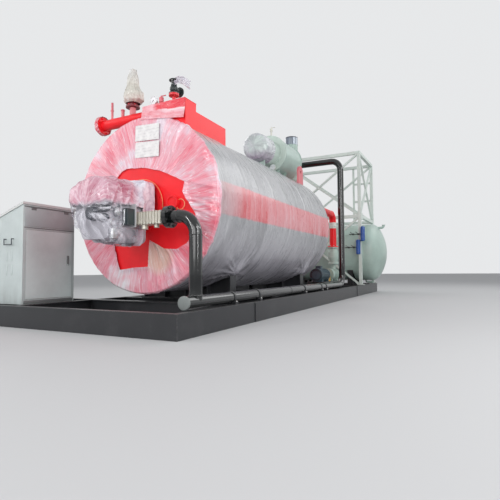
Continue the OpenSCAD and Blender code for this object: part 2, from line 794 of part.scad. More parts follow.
// Motor with a finned body, end shields, feet and terminal box
module pump_motor() color("#3c4652") translate([pump_x, pump_y, pump_z]) {
    fins = 24;
    fin_t = 6;
    shield_len = 60;
    fin_len = motor_len - 2 * shield_len;
    foot = [240, 60, 60];
    box = [120, 140, 95];
    along_y(motor_r - 6, shield_len);
    translate([0, -4, 0]) along_y(motor_r - 60, 4);
    translate([0, shield_len, 0]) rotate([-90, 0, 0]) linear_extrude(fin_len) {
        circle(r = motor_r - 22);
        for (i = [0:fins - 1]) rotate(360 / fins * (i + 0.5)) translate([motor_r - 40, -fin_t / 2])
            square([36, fin_t]);
    }
    translate([0, shield_len + fin_len, 0]) along_y(motor_r - 14, shield_len);
    for (y = [shield_len + 30, motor_len - 130]) translate([-foot.x / 2, y, -motor_r]) cube(foot);
    translate([-box.x / 2, 150, motor_r - 45]) cube(box);
    translate([0, motor_len, 0]) along_y(24, 60);
}

// Yellow guard over the coupling, open below
module pump_coupling() color("#e0a722") translate([pump_x, coupling_y, pump_z]) {
    gap = 20;
    len = coupling_len - 30;
    r = 90;
    wall = 20;
    difference() {
        union() {
            translate([0, gap, 0]) along_y(r, len);
            translate([-r, gap, -motor_r]) cube([2 * r, len, motor_r]);
        }
        translate([0, -CUT, 0]) along_y(r - wall, coupling_len + 2 * CUT);
        translate([wall - r, -CUT, -motor_r - CUT]) cube([2 * (r - wall), coupling_len + 2 * CUT, motor_r]);
    }
}

// Pump casing of several stages with its feet and discharge branch, and the check valve above
module feed_pump() color("#aabeb4") {
    inlet_len = 140;
    stage_len = 30;
    stages = 4;
    stages_y = 60 + inlet_len;
    stages_len = pump_len - stages_y - end_cover;
    foot = [220, 60, motor_r];
    translate([pump_x, casing_y, pump_z]) {
        along_y(60, 60);
        translate([0, 60, 0]) along_y(150, inlet_len);
        translate([0, stages_y, 0]) along_y(115, stages_len);
        for (i = [0:stages - 1]) translate([0, stages_y + i * stages_len / stages, 0])
            along_y(130, stage_len);
        translate([0, pump_len - end_cover, 0]) along_y(145, end_cover);
        for (y = [70, pump_len - foot.y - 20]) translate([-foot.x / 2, y, -motor_r]) cube(foot);
    }
    translate([pump_x, discharge_y, pump_z]) {
        r = feed_r + 48;
        step = check_len / 3;
        cylinder(r = suction_r, h = discharge_h);
        for (k = [0, 1]) translate([0, 0, discharge_h + k * JOINT]) cylinder(r = r, h = JOINT);
        translate([0, 0, discharge_h + 2 * JOINT]) {
            cylinder(r1 = feed_r + 10, r2 = r, h = step);
            translate([0, 0, step]) cylinder(r = r, h = step);
            translate([0, 0, 2 * step]) cylinder(r1 = r, r2 = feed_r + 10, h = step);
            translate([0, 0, check_len]) cylinder(r = r, h = JOINT);
        }
    }
}

// Red feed pipe from the check valve to the rear of the boiler
module feed_pipe() color("#e8282d") {
    z0 = pump_z + discharge_h + 3 * JOINT + check_len;
    z1 = shell_z + feed_rise;
    bend = 2 * feed_r;
    end_y = shell_y1 + end_plate_t + SEAT;
    translate([pump_x, discharge_y, z0]) cylinder(r = feed_r + 48, h = JOINT);
    translate([pump_x, discharge_y, z0 + JOINT]) cylinder(r = feed_r, h = z1 - bend - z0 - JOINT);
    translate([pump_x, discharge_y - bend, z1 - bend]) rotate([90, 0, 90]) quarter_bend(feed_r, bend);
    translate([pump_x, end_y, z1]) along_y(feed_r, discharge_y - bend - end_y);
    translate([pump_x, end_y, z1]) along_y(feed_r + 40, JOINT);
}

// Suction pipe from the tank to the pump, with its flange
module suction_pipe() color("#aabeb4") {
    translate([pump_x, pump_end, pump_z]) along_y(suction_r + 48, JOINT);
    difference() {
        translate([pump_x, pump_end + JOINT, pump_z]) along_y(suction_r, tank_y - pump_end - JOINT);
        translate([-BIG / 2, tank_y, tank_z]) along_x(tank_r + SEAT, BIG);
    }
}

module tank_shell() color("#aabeb4") translate([-tank_len / 2, tank_y, tank_z]) rotate([0, 90, 0])
    tube(tank_r, tank_wall, tank_len);

// Dished end: straight rim, knuckle and crown
module dish_profile(r) {
    crown = dish_crown * r;
    knuckle = dish_knuckle * r;
    rise = dish_rise(r);
    union() {
        square([r, dish_flat]);
        intersection() {
            translate([0, dish_flat]) square([r, rise]);
            union() {
                translate([r - knuckle, dish_flat]) circle(r = knuckle);
                translate([0, dish_flat]) square([r - knuckle, knuckle]);
                intersection() {
                    translate([0, dish_flat + rise - crown]) circle(r = crown);
                    polygon([[0, dish_flat + rise - crown],
                        [(r - knuckle) * 3, dish_flat + (crown - rise) * 2],
                        [0, dish_flat + (crown - rise) * 2]]);
                }
            }
        }
    }
}

module tank_ends() color("#aabeb4") for (s = [0, 1]) mirror([s, 0, 0])
    translate([tank_len / 2, tank_y, tank_z]) rotate([0, 90, 0]) rotate_extrude() difference() {
        dish_profile(tank_r);
        translate([0, -CUT]) dish_profile(tank_r - tank_wall);
        translate([-BIG, -BIG / 2]) square([BIG, BIG]);
    }

// Two welded saddles under the tank: foot plate, web, ribs and curved seat plate
module tank_saddles() color("#2b2b2e") for (s = [-1, 1])
    translate([s * tank_saddle_span / 2, tank_y, 0]) {
        half = 600;
        w = 160;
        t = 12;
        margin = 8;
        tip_h = tank_z - sqrt(pow(tank_r + t, 2) - half * half) - skid_h;
        difference() {
            union() {
                translate([-w / 2, -half, skid_h]) cube([w, 2 * half, t]);
                translate([-t / 2, -half, skid_h]) cube([t, 2 * half, tip_h]);
                for (y = [-half, -half / 3, half / 3 - t, half - t])
                    translate([margin - w / 2, y, skid_h]) cube([w - 2 * margin, t, tip_h]);
                translate([-w / 2, 0, tank_z]) intersection() {
                    along_x(tank_r + t, w);
                    translate([0, -half, -BIG / 2]) cube([w, 2 * half, BIG / 2]);
                }
            }
            translate([-w, 0, tank_z]) along_x(tank_r + SEAT, 2 * w);
        }
    }

// Manhole on top, air vent on the right end and drain below
module tank_nozzles() color("#aabeb4") {
    manhole_r = 230;
    manhole_h = 50;
    difference() {
        translate([0, tank_y, tank_z]) cylinder(r = manhole_r, h = tank_r + manhole_h);
        translate([-BIG / 2, tank_y, tank_z]) along_x(tank_r + SEAT, BIG);
    }
    for (k = [0, 1]) translate([0, tank_y, tank_z + tank_r + manhole_h + k * JOINT])
        cylinder(r = manhole_r + 50, h = JOINT);
    translate([0, tank_y, tank_z + tank_r + manhole_h + 2 * JOINT]) cylinder(r = manhole_r - 60, h = 12);
    tank_vent();
    tank_drain();
}

// Air vent: a short pipe out of the dished end and an elbow upwards
module tank_vent() {
    r = 32;
    bend = 60;
    z = tank_z + 0.86 * tank_r;
    reach = dish_flat + dish_rise(tank_r) - 60;
    translate([tank_len / 2, tank_y, 0]) {
        difference() {
            translate([0, 0, z]) along_x(r, reach - bend);
            translate([0, 0, tank_z]) rotate([0, 90, 0]) rotate_extrude() dish_profile(tank_r + SEAT);
        }
        translate([reach - bend, 0, z + bend]) rotate([-90, 0, 0]) quarter_bend(r, bend);
        translate([reach, 0, z + bend]) cylinder(r = r + 12, h = 20);
    }
}

// Drain: an elbow below the shell and a pipe to the side, with its cap
module tank_drain() {
    r = 24;
    bend = 40;
    len = 120;
    translate([tank_len / 2 - 130, tank_y, tank_z - tank_r - tank_lift / 2]) {
        difference() {
            translate([0, 0, bend]) cylinder(r = r, h = tank_r);
            translate([-BIG / 2, 0, tank_r + tank_lift / 2]) along_x(tank_r + SEAT, BIG);
        }
        translate([bend, 0, bend]) rotate([-90, 0, 180]) quarter_bend(r, bend);
        translate([bend, 0, 0]) along_x(r, len);
        translate([bend + len, 0, 0]) along_x(r + 8, 30);
    }
}

// Two blue level columns on a bar across the front right post
module level_columns() color("#1d5fb4") translate([frame_x[1], frame_y[0] - post_w / 2, skid_h]) {
    bar = [240, 8, 40];
    bar_z = 1150;
    column_r = 55;
    column_h = 350;
    translate([-bar.x / 2, -bar.y, bar_z]) cube(bar);
    for (k = [0, 1]) translate([90 - k * 125, 5 - bar.y - column_r, bar_z + bar.z / 2 - k * column_h])
        cylinder(r = column_r, h = column_h);
}

// Four posts on their foot plates
module frame_posts() color("#e6e6e2") for (x = frame_x, y = frame_y) translate([x, y, skid_h]) {
    foot = [2 * post_side, post_w, foot_t];
    translate([-foot.x / 2, -foot.y / 2, 0]) cube(foot);
    translate([-post_w / 2, -post_w / 2, 0]) cube([post_w, post_w, frame_h]);
}

// Rails between the posts at the top and at mid height
module frame_rails() color("#e6e6e2") {
    clear_x = frame_w - post_w;
    clear_y = frame_len - post_w;
    for (z = [mid_z - post_w / 2, frame_top - post_w]) {
        for (y = frame_y) translate([-clear_x / 2, y - post_w / 2, z]) cube([clear_x, post_w, post_w]);
        for (x = frame_x)
            translate([x - post_w / 2, tank_y - clear_y / 2, z]) cube([post_w, clear_y, post_w]);
    }
    frame_ladder(frame_x[1] - post_w / 2, frame_top - mid_z - 1.5 * post_w);
}

// Two rungs of flat bar and their upright, behind the crossed bars at the rear, up to the post at x
module frame_ladder(x, h) translate([x, frame_y[1] + brace_w / 2 + SEAT, mid_z + post_w / 2]) {
    t = (post_w - brace_w) / 2 - 1;
    w = 530;
    bar = 60;
    translate([-w, 0, 0]) cube([bar, t, h]);
    for (k = [1, 2]) translate([bar - w, 0, h * k / 3 + 40]) cube([w - bar, t, bar]);
}

// Two crossed bars in a bay w wide and h high, in the XZ plane: one whole bar and two halves
module crossed_bars(w, h) {
    angle = atan2(h, w);
    len = sqrt(w * w + h * h);
    intersection() {
        translate([-w / 2, -brace_w / 2, 0]) cube([w, brace_w, h]);
        translate([0, 0, h / 2]) rotate([0, -angle, 0]) cube([len, brace_w, brace_w], center = true);
    }
    for (s = [-1, 1]) intersection() {
        translate([-w / 2, -brace_w / 2, 0]) cube([w, brace_w, h]);
        difference() {
            translate([0, 0, h / 2]) rotate([0, angle, 0])
                translate([s > 0 ? 0 : -len, -brace_w / 2, -brace_w / 2]) cube([len, brace_w, brace_w]);
            translate([0, 0, h / 2]) rotate([0, -angle, 0])
                cube([2 * len, 2 * brace_w, brace_w + 2 * SEAT], center = true);
        }
    }
}

module frame_side_braces() color("#e6e6e2") for (x = frame_x)
    translate([x, tank_y, mid_z + post_w / 2]) rotate(90)
        crossed_bars(frame_len - post_w, frame_top - mid_z - 1.5 * post_w);

// Crossed bars in the upper bays at both ends, and in the lower bay towards the boiler
module frame_end_braces() color("#e6e6e2") {
    for (y = frame_y) translate([0, y, mid_z + post_w / 2])
        crossed_bars(frame_w - post_w, frame_top - mid_z - 1.5 * post_w);
    translate([0, frame_y[0], skid_h + foot_t])
        crossed_bars(frame_w - post_w, mid_h - foot_t - post_w / 2);
}

// Plates that cover the joints at mid height
module frame_gussets() color("#e6e6e2") {
    side = 180;
    for (x = [0, 1], y = [0, 1])
        translate([frame_x[x] + (x > 0 ? post_w / 2 : -post_w / 2 - gusset_t),
            frame_y[y] - (y > 0 ? side - post_w / 2 : post_w / 2), mid_z - side / 2])
            cube([gusset_t, side, side]);
}

// Desk outline seen along Y, the back on the right
module desk_outline() {
    back_h = desk_h - lid_t;
    polygon([[-desk_d, 0], [0, 0], [0, back_h], [-desk_d, back_h - desk_d * tan(desk_slope)]]);
}

// Sheet-metal desk with the recess of the service door in its back
module desk_body() color("#b9bbb8") translate([desk_x, desk_y, skid_h]) difference() {
    translate([0, desk_w, 0]) rotate([90, 0, 0]) linear_extrude(desk_w) desk_outline();
    translate([-door_t, door_margin, door_z]) cube([door_t + CUT, desk_w - 2 * door_margin, door_h]);
}

// Service door with its lock
module desk_door() color("#c4c6c3") {
    gap = 3;
    translate([desk_x - door_t, desk_y + door_margin + gap, skid_h + door_z + gap]) {
        cube([door_t + 2, desk_w - 2 * (door_margin + gap), door_h - 2 * gap]);
        translate([door_t + 2, desk_w - 150, door_h / 2]) along_x(12, 8);
    }
}

// Sloped lid that overhangs the desk
module desk_lid() color("#ecece8") {
    over = 12;
    slope = tan(desk_slope);
    low = -desk_d - 2 * over;
    translate([desk_x + over, desk_y + desk_w + over, skid_h + desk_h - lid_t]) rotate([90, 0, 0])
        linear_extrude(desk_w + 2 * over) polygon([[0, slope * over + SEAT],
            [low, slope * (low + over) + SEAT], [low, lid_t + slope * (low + over)],
            [0, lid_t + slope * over]]);
}

skid_side_rails();
skid_end_beams();
skid_cross_beams();
desk_outrigger();
rail_plates();
boiler_saddles();
shell_cladding();
front_plate();
sight_port();
rear_cover();
lifting_lugs();
valve_box();
steam_header();
header_stubs();
safety_valve();
main_steam_valve();
steam_handwheel();
pressure_gauge();
air_valve();
burner_ring();
burner_head();
burner_housing();
burner_air_cover();
burner_motor();
burner_actuator();
gas_valve();
gas_flanges();
gas_bends();
gas_pipes();
gas_pipe_clamps();
economizer_drum();
economizer_cover();
economizer_feet();
economizer_fittings();
flue_elbow();
stack_pipe();
stack_collar();
pump_plinth();
pump_motor();
pump_coupling();
feed_pump();
feed_pipe();
suction_pipe();
tank_shell();
tank_ends();
tank_saddles();
tank_nozzles();
level_columns();
frame_posts();
frame_rails();
frame_side_braces();
frame_end_braces();
frame_gussets();
desk_body();
desk_lid();
desk_door();
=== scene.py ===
import math

import bmesh
import bpy
from mathutils import Matrix, Vector, noise


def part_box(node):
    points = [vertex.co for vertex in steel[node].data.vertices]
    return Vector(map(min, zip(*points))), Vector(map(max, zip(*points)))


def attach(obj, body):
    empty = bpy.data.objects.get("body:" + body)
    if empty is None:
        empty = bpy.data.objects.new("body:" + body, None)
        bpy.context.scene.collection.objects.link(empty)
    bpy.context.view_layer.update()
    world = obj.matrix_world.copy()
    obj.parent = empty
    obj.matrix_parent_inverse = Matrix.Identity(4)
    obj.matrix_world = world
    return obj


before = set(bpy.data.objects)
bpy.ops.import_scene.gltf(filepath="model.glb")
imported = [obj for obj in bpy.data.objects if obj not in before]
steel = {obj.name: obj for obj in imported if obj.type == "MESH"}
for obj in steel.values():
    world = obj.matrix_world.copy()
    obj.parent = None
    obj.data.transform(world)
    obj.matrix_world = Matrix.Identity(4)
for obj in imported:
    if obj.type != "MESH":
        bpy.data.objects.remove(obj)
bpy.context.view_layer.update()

# Studio: a pale floor under the skid, soft lamps, and the camera where the photographer stood,
# on the burner side and to the right, a little over half a metre above the skid's underside.


def deselect():
    """Nothing selected, so that the next operator acts only on what it adds"""
    bpy.ops.object.select_all(action="DESELECT")


def only(piece):
    """Select one piece and make it the active one"""
    deselect()
    piece.select_set(True)
    bpy.context.view_layer.objects.active = piece


def corners(name):
    """The low and the high corner of a CAD node's box"""
    return [Vector(corner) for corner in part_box(name)]


def shape(kind, at, turned=(0, 0, 0), stretch=None, **sizes):
    """A new primitive mesh at a place, turned and stretched"""
    deselect()
    getattr(bpy.ops.mesh, f"primitive_{kind}_add")(location=at, rotation=turned, **sizes)
    made = bpy.context.object
    if stretch is not None:
        made.scale = stretch
        bpy.ops.object.transform_apply(location=False)
    return made


def surface(name, **plain):
    """A new material and its shader, with the plain values set on the shader's own sockets"""
    made = bpy.data.materials.new(name)
    made.use_nodes = True
    shader = made.node_tree.nodes["Principled BSDF"]
    for socket, value in plain.items():
        shader.inputs[socket.replace("_", " ")].default_value = value
    return made, shader


def add(tree, kind, inputs, **settings):
    """A shader node with its settings; an input takes a value or another node's output"""
    made = tree.nodes.new("ShaderNode" + kind)
    for key, value in settings.items():
        setattr(made, key, value)
    for key, value in inputs.items():
        if isinstance(value, bpy.types.NodeSocket):
            tree.links.new(value, made.inputs[key])
        else:
            made.inputs[key].default_value = value
    return made


FLOOR_HALF = 60
FLOOR_GREY = (0.56, 0.565, 0.57, 1)
floor = shape("plane", (0, 0, 0), size=2 * FLOOR_HALF)
floor.name = "studio_floor"
floor_paint, _ = surface("studio_floor", Base_Color=FLOOR_GREY, Roughness=0.75)
floor.data.materials.append(floor_paint)

EYE = Vector((3.593, -8.054, 0.648))
YAW, PITCH, ROLL = math.radians(27.07), math.radians(2.78), math.radians(-0.40)
forward = Vector((-math.sin(YAW) * math.cos(PITCH), math.cos(YAW) * math.cos(PITCH), math.sin(PITCH)))
across = Vector((math.cos(YAW), math.sin(YAW), 0))
upward = across.cross(forward)
rolled_across = across * math.cos(ROLL) + upward * math.sin(ROLL)
rolled_up = upward * math.cos(ROLL) - across * math.sin(ROLL)
camera = bpy.data.objects.new("camera", bpy.data.cameras.new("camera"))
bpy.context.scene.collection.objects.link(camera)
looking = Matrix((rolled_across, rolled_up, -forward)).transposed().to_4x4()
camera.matrix_world = Matrix.Translation(EYE) @ looking
camera.data.sensor_width = 36
camera.data.lens = 30.33
camera.data.clip_end = 300
bpy.context.scene.camera = camera
bpy.context.scene.view_settings.view_transform = "Standard"

# place, what it points at, width, height, watts; the two strips draw the bright lines on the pipes
for place, aim, width, height, watts in (
    ((2.5, -13, 3.0), (0, -3.5, 1.2), 6, 4, 250),
    ((-8, -8, 5), (0, -3.5, 1.2), 6, 6, 220),
    ((9, -4, 5), (0.5, -1.5, 1.0), 5, 5, 180),
    ((6, 7, 8), (0, 2, 1.5), 6, 6, 225),
    ((-6, 5, 8), (0, 1, 1.5), 6, 6, 200),
    ((-1.5, -12, 4.0), (1.1, -4.4, 1.0), 0.35, 4.5, 170),
    ((7.8, -6.6, 3.2), (1.1, -4.4, 1.0), 0.30, 4.5, 150),
    ((8, -1.0, 5.5), (1.1, -1.0, 1.0), 9, 0.35, 90),
):
    lamp = bpy.data.objects.new("lamp", bpy.data.lights.new("lamp", "AREA"))
    lamp.data.shape = "RECTANGLE"
    lamp.data.size, lamp.data.size_y = width, height
    lamp.data.energy = watts
    lamp.visible_camera = False
    lamp.location = place
    lamp.rotation_euler = (Vector(aim) - Vector(place)).to_track_quat("-Z", "Y").to_euler()
    bpy.context.scene.collection.objects.link(lamp)

world = bpy.data.worlds.new("studio")
bpy.context.scene.world = world
world.use_nodes = True
sky = world.node_tree
rays = add(sky, "LightPath", {})
seen = add(sky, "Math", {0: rays.outputs["Is Camera Ray"], 1: rays.outputs["Is Glossy Ray"]},
           operation="MAXIMUM")
seen = add(sky, "Math", {0: seen.outputs[0], 1: rays.outputs["Is Transmission Ray"]}, operation="MAXIMUM")
shade = add(sky, "Mix", {0: seen.outputs[0], "A": (0.38, 0.385, 0.40, 1), "B": (0.80, 0.81, 0.82, 1)},
            data_type="RGBA")
sky.nodes["Background"].inputs["Color"].default_value = (1, 1, 1, 1)
sky.links.new(shade.outputs["Result"], sky.nodes["Background"].inputs["Color"])


# Skid, saddles and supports: rolled channels and cut plate, welded up and sprayed with black enamel.
# Dust lies on what faces up, and rubbed edges show brighter.


def effect(name, inputs, outputs):
    """A shader node group with named inputs and outputs, and its two end nodes"""
    made = bpy.data.node_groups.new(name, "ShaderNodeTree")
    for label, value in inputs.items():
        kind = {4: "Color", 3: "Vector"}[len(value)] if isinstance(value, tuple) else "Float"
        made.interface.new_socket(name=label, in_out="INPUT",
                                  socket_type="NodeSocket" + kind).default_value = value
    for label, kind in outputs.items():
        made.interface.new_socket(name=label, in_out="OUTPUT", socket_type="NodeSocket" + kind)
    return made, made.nodes.new("NodeGroupInput"), made.nodes.new("NodeGroupOutput")


def blended(tree, share, first, second, mode="MIX"):
    """The colour that lies between two, as the share says"""
    inputs = {0: share, "A": first, "B": second}
    return add(tree, "Mix", inputs, data_type="RGBA", blend_type=mode).outputs["Result"]


def band(tree, value, low, high, start=0.0, end=1.0):
    """The value's place between low and high, stretched to run from start to end"""
    inputs = {"Value": value, "From Min": low, "From Max": high, "To Min": start, "To Max": end}
    return add(tree, "MapRange", inputs).outputs["Result"]


def maths(tree, operation, first, second=0.0):
    """The result of one sum on values or sockets"""
    return add(tree, "Math", {0: first, 1: second}, operation=operation).outputs[0]


def times(tree, first, second):
    """The product of two values or sockets"""
    return maths(tree, "MULTIPLY", first, second)


def plus(tree, first, second):
    """The sum of two values or sockets"""
    return maths(tree, "ADD", first, second)


def spot_in(tree, axis=None):
    """Where a point lies in its piece, or how far along one axis"""
    spot = add(tree, "TexCoord", {}).outputs["Object"]
    return add(tree, "SeparateXYZ", {0: spot}).outputs[axis] if axis else spot


def noise_of(tree, vector, scale, detail, **more):
    """The value of a noise texture"""
    return add(tree, "TexNoise", {"Vector": vector, "Scale": scale, "Detail": detail, **more}).outputs[0]


def feed(node, **values):
    """Link results to a node's inputs"""
    for name, value in values.items():
        node.id_data.links.new(value, node.inputs[name.replace("_", " ")])


def skinned(shader, group):
    """Give a shader the colour, roughness and relief that a group works out"""
    feed(shader, Base_Color=group.outputs["Color"], Roughness=group.outputs["Roughness"],
         Normal=group.outputs["Normal"])


def coat_of(material):
    """The node in a paint that holds its colour and wear"""
    return next(node for node in material.node_tree.nodes if node.type == "GROUP")


worn_enamel, given, result = effect(
    "worn_enamel",
    {"Paint": (0.5, 0.5, 0.5, 1), "Dust": (0.3, 0.28, 0.25, 1), "Rubbed": (0.6, 0.6, 0.6, 1), "Dusting": 0.4,
     "Wear": 0.3, "Gloss": 0.35, "Peel": 0.1},
    {"Color": "Color", "Roughness": "Float", "Normal": "Vector"},
)
tree = worn_enamel
place = spot_in(tree)
facing = add(tree, "NewGeometry", {}).outputs["Normal"]
eased = add(tree, "Bevel", {"Radius": 0.005}, samples=4).outputs["Normal"]
clouds = noise_of(tree, place, 2.3, 6, Roughness=0.65)
specks = noise_of(tree, place, 55, 5, Roughness=0.7)
peel = noise_of(tree, place, 190, 2)
upwards = add(tree, "SeparateXYZ", {0: facing}).outputs["Z"]
upwards = band(tree, upwards, 0.45, 0.95)
settled = times(tree, upwards, band(tree, clouds, 0.30, 0.62, 0.25, 1.0))
settled = plus(tree, settled, band(tree, clouds, 0.52, 0.80, 0.0, 0.35))
settled = times(tree, settled, band(tree, specks, 0.25, 0.70, 0.45, 1.0))
settled = times(tree, settled, given.outputs["Dusting"])
bent = add(tree, "VectorMath", {0: facing, 1: eased}, operation="DOT_PRODUCT").outputs["Value"]
rubbed = times(tree, band(tree, bent, 0.985, 0.86), band(tree, specks, 0.42, 0.58))
rubbed = times(tree, rubbed, given.outputs["Wear"])
tone = band(tree, clouds, 0.25, 0.75, 0.86, 1.12)
toned = add(tree, "HueSaturation", {"Value": tone, "Color": given.outputs["Paint"]}).outputs[0]
toned = blended(tree, settled, toned, given.outputs["Dust"])
toned = blended(tree, rubbed, toned, given.outputs["Rubbed"])
sheen = plus(tree, given.outputs["Gloss"], band(tree, specks, 0.3, 0.8, -0.03, 0.06))
sheen = add(tree, "Mix", {0: settled, "A": sheen, "B": 0.85}, data_type="FLOAT").outputs["Result"]
grain = times(tree, peel, given.outputs["Peel"])
relief = add(tree, "Bump", {"Height": grain, "Distance": 0.003, "Normal": eased}).outputs[0]
feed(result, Color=toned, Roughness=sheen, Normal=relief)


def enamel(name, paint, gloss, dusting=0.3, wear=0.2, peel=0.15, dust=(0.34, 0.32, 0.29, 1), rubbed=None,
           **plain):
    """A sprayed paint, with the shares of dust, of rubbed edges and of orange peel"""
    made, shader = surface(name, **plain)
    tree = made.node_tree
    paint = (*paint, 1)
    rubbed = rubbed or tuple(min(1, channel * 1.5 + 0.06) for channel in paint)
    coat = add(tree, "Group", {"Paint": paint, "Dust": dust, "Rubbed": rubbed, "Dusting": dusting, "Wear": wear,
                               "Gloss": gloss, "Peel": peel}, node_tree=worn_enamel)
    skinned(shader, coat)
    return made


def dress(material, *names):
    """Give CAD nodes their finished material"""
    for name in names:
        steel[name].data.materials.clear()
        steel[name].data.materials.append(material)


def joined(pieces):
    """Several pieces made one"""
    deselect()
    for piece in pieces:
        piece.select_set(True)
    bpy.context.view_layer.objects.active = pieces[0]
    if len(pieces) > 1:
        bpy.ops.object.join()
    return bpy.context.object


def settle(piece, name, material):
    """Finish a piece, or a list made one: it gets its name, material and ride"""
    if isinstance(piece, list):
        piece = joined(piece)
    only(piece)
    bpy.ops.object.transform_apply(location=True, rotation=True, scale=True)
    piece.name = name
    piece.data.name = name
    if material:
        piece.data.materials.clear()
        piece.data.materials.append(material)
    bpy.ops.object.shade_smooth_by_angle(angle=math.radians(35))
    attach(piece, "root")
    return piece


def rod(radius, depth, at, turned=(0, 0, 0), sides=20):
    """A round bar or a disc, along Z unless it is turned"""
    return shape("cylinder", at, turned, vertices=sides, radius=radius, depth=depth)


def aimed(facing):
    """The turn that takes Z to a direction"""
    return Vector(facing).to_track_quat("Z", "Y").to_matrix()


def weld_bead(start, end, radius=0.006):
    """A straight fillet weld: a thin bar whose skin ripples along its length"""
    start, end = Vector(start), Vector(end)
    length = (end - start).length
    bead = rod(radius, length, (0, 0, length / 2), sides=7)
    bpy.ops.object.transform_apply(location=True)
    bpy.ops.object.mode_set(mode="EDIT")
    bpy.ops.mesh.select_mode(type="EDGE")
    bpy.ops.mesh.select_all(action="DESELECT")
    bpy.ops.object.mode_set(mode="OBJECT")
    for edge in bead.data.edges:
        low, high = (bead.data.vertices[i].co.z for i in edge.vertices)
        edge.select = abs(low - high) > length / 2
    bpy.ops.object.mode_set(mode="EDIT")
    bpy.ops.mesh.subdivide(number_cuts=min(90, max(3, int(length / 0.014))))
    bpy.ops.object.mode_set(mode="OBJECT")
    for vertex in bead.data.vertices:
        ripple = 1 + 0.28 * math.sin(vertex.co.z * 450) + 0.2 * noise.noise(vertex.co * 70)
        vertex.co.x *= ripple
        vertex.co.y *= ripple
    bead.matrix_world = Matrix.Translation(start) @ aimed(end - start).to_4x4()
    return bead


TO_X, TO_Y = (0, math.pi / 2, 0), (math.pi / 2, 0, 0)
SKID_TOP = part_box("skid_side_rails")[1][2]
RAIL_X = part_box("skid_side_rails")[1][0]
skid_black = enamel("skid_enamel", (0.022, 0.023, 0.026), 0.33, 0.42, 0.55, 0.3,
                    dust=(0.20, 0.19, 0.18, 1), rubbed=(0.30, 0.30, 0.31, 1))
dress(skid_black, "skid_side_rails", "skid_end_beams", "skid_cross_beams", "desk_outrigger", "rail_plates",
      "boiler_saddles", "gas_pipe_clamps", "pump_plinth", "tank_saddles")
saddle_low, saddle_high = corners("boiler_saddles")
beads = []
for y in (saddle_low.y, saddle_low.y + 0.18, saddle_high.y - 0.18, saddle_high.y):
    beads.append(weld_bead((-0.79, y, SKID_TOP + 0.002), (0.79, y, SKID_TOP + 0.002)))
for y in (-3.29, -3.19, 2.29, 2.39):
    for side in (-1, 1):
        beads.append(weld_bead((side * (RAIL_X - 0.008), y, 0.01), (side * (RAIL_X - 0.008), y, 0.24), 0.005))
settle(beads, "skid_welds", skid_black)

# Boiler shell: grey clad sheet with a red band along each side, wound round and round with clear stretch
# film. The film's ring folds run round the shell, and it hangs in a bunch over the saddles' tips.

stretch_film, given, result = effect(
    "stretch_film",
    {"Vector": (0.0, 0.0, 0.0), "Under": (0.4, 0.4, 0.4, 1), "Veil": (0.8, 0.8, 0.8, 1), "Cover": 0.5,
     "Streaks": 1.0, "Crease Glints": 0.5, "Depth": 1.0},
    {"Color": "Color", "Roughness": "Float", "Normal": "Vector", "Mask": "Float"},
)
tree = stretch_film
along_fold = given.outputs["Vector"]
bands = noise_of(tree, along_fold, 1, 4, Roughness=0.6, Distortion=0.3)
finer = add(tree, "VectorMath", {0: along_fold, 1: (4.7, 2.1, 1)}, operation="MULTIPLY").outputs[0]
streak = noise_of(tree, finer, 1, 5, Roughness=0.6, Distortion=0.5)
other = add(tree, "VectorMath", {0: along_fold, 1: (2.3, 1.3, 1)}, operation="MULTIPLY").outputs[0]
vein = noise_of(tree, other, 1, 2, Distortion=0.8)
vein = maths(tree, "ABSOLUTE", maths(tree, "SUBTRACT", vein, 0.5))
# Fold lines of the film, with narrow glint lines added below; both are coloured near white as painted
# highlights, and both also raise the relief.
crease_glint = times(tree, band(tree, vein, 0.022, 0.0), band(tree, streak, 0.42, 0.66))
glint = noise_of(tree, finer, 1.1, 1, Distortion=1.2)
glint = band(tree, maths(tree, "ABSOLUTE", maths(tree, "SUBTRACT", glint, 0.52)), 0.010, 0.0)
glint = times(tree, glint, band(tree, bands, 0.48, 0.62, 0.0, 0.8))
crease_glint = maths(tree, "MAXIMUM", crease_glint, glint)
lean = plus(tree, band(tree, bands, 0.3, 0.7, -0.55, 0.55), band(tree, streak, 0.3, 0.7, -0.35, 0.35))
lean = times(tree, lean, given.outputs["Streaks"])
veil_share = add(tree, "Math", {0: given.outputs["Cover"], 1: lean}, operation="ADD",
                 use_clamp=True).outputs[0]
hue = blended(tree, veil_share, given.outputs["Under"], given.outputs["Veil"])
# Painted highlight: the creases and glints take a near-white colour.
hue = blended(tree, times(tree, crease_glint, given.outputs["Crease Glints"]), hue, (0.93, 0.92, 0.95, 1))
gloss = band(tree, streak, 0.3, 0.75, 0.20, 0.42)
height = plus(tree, times(tree, streak, 0.45), times(tree, bands, 0.8))
height = plus(tree, height, times(tree, crease_glint, 0.25))
height = times(tree, height, given.outputs["Depth"])
relief = add(tree, "Bump", {"Height": height, "Distance": 0.012, "Strength": 0.8}).outputs[0]
feed(result, Color=hue, Roughness=gloss, Normal=relief, Mask=veil_share)


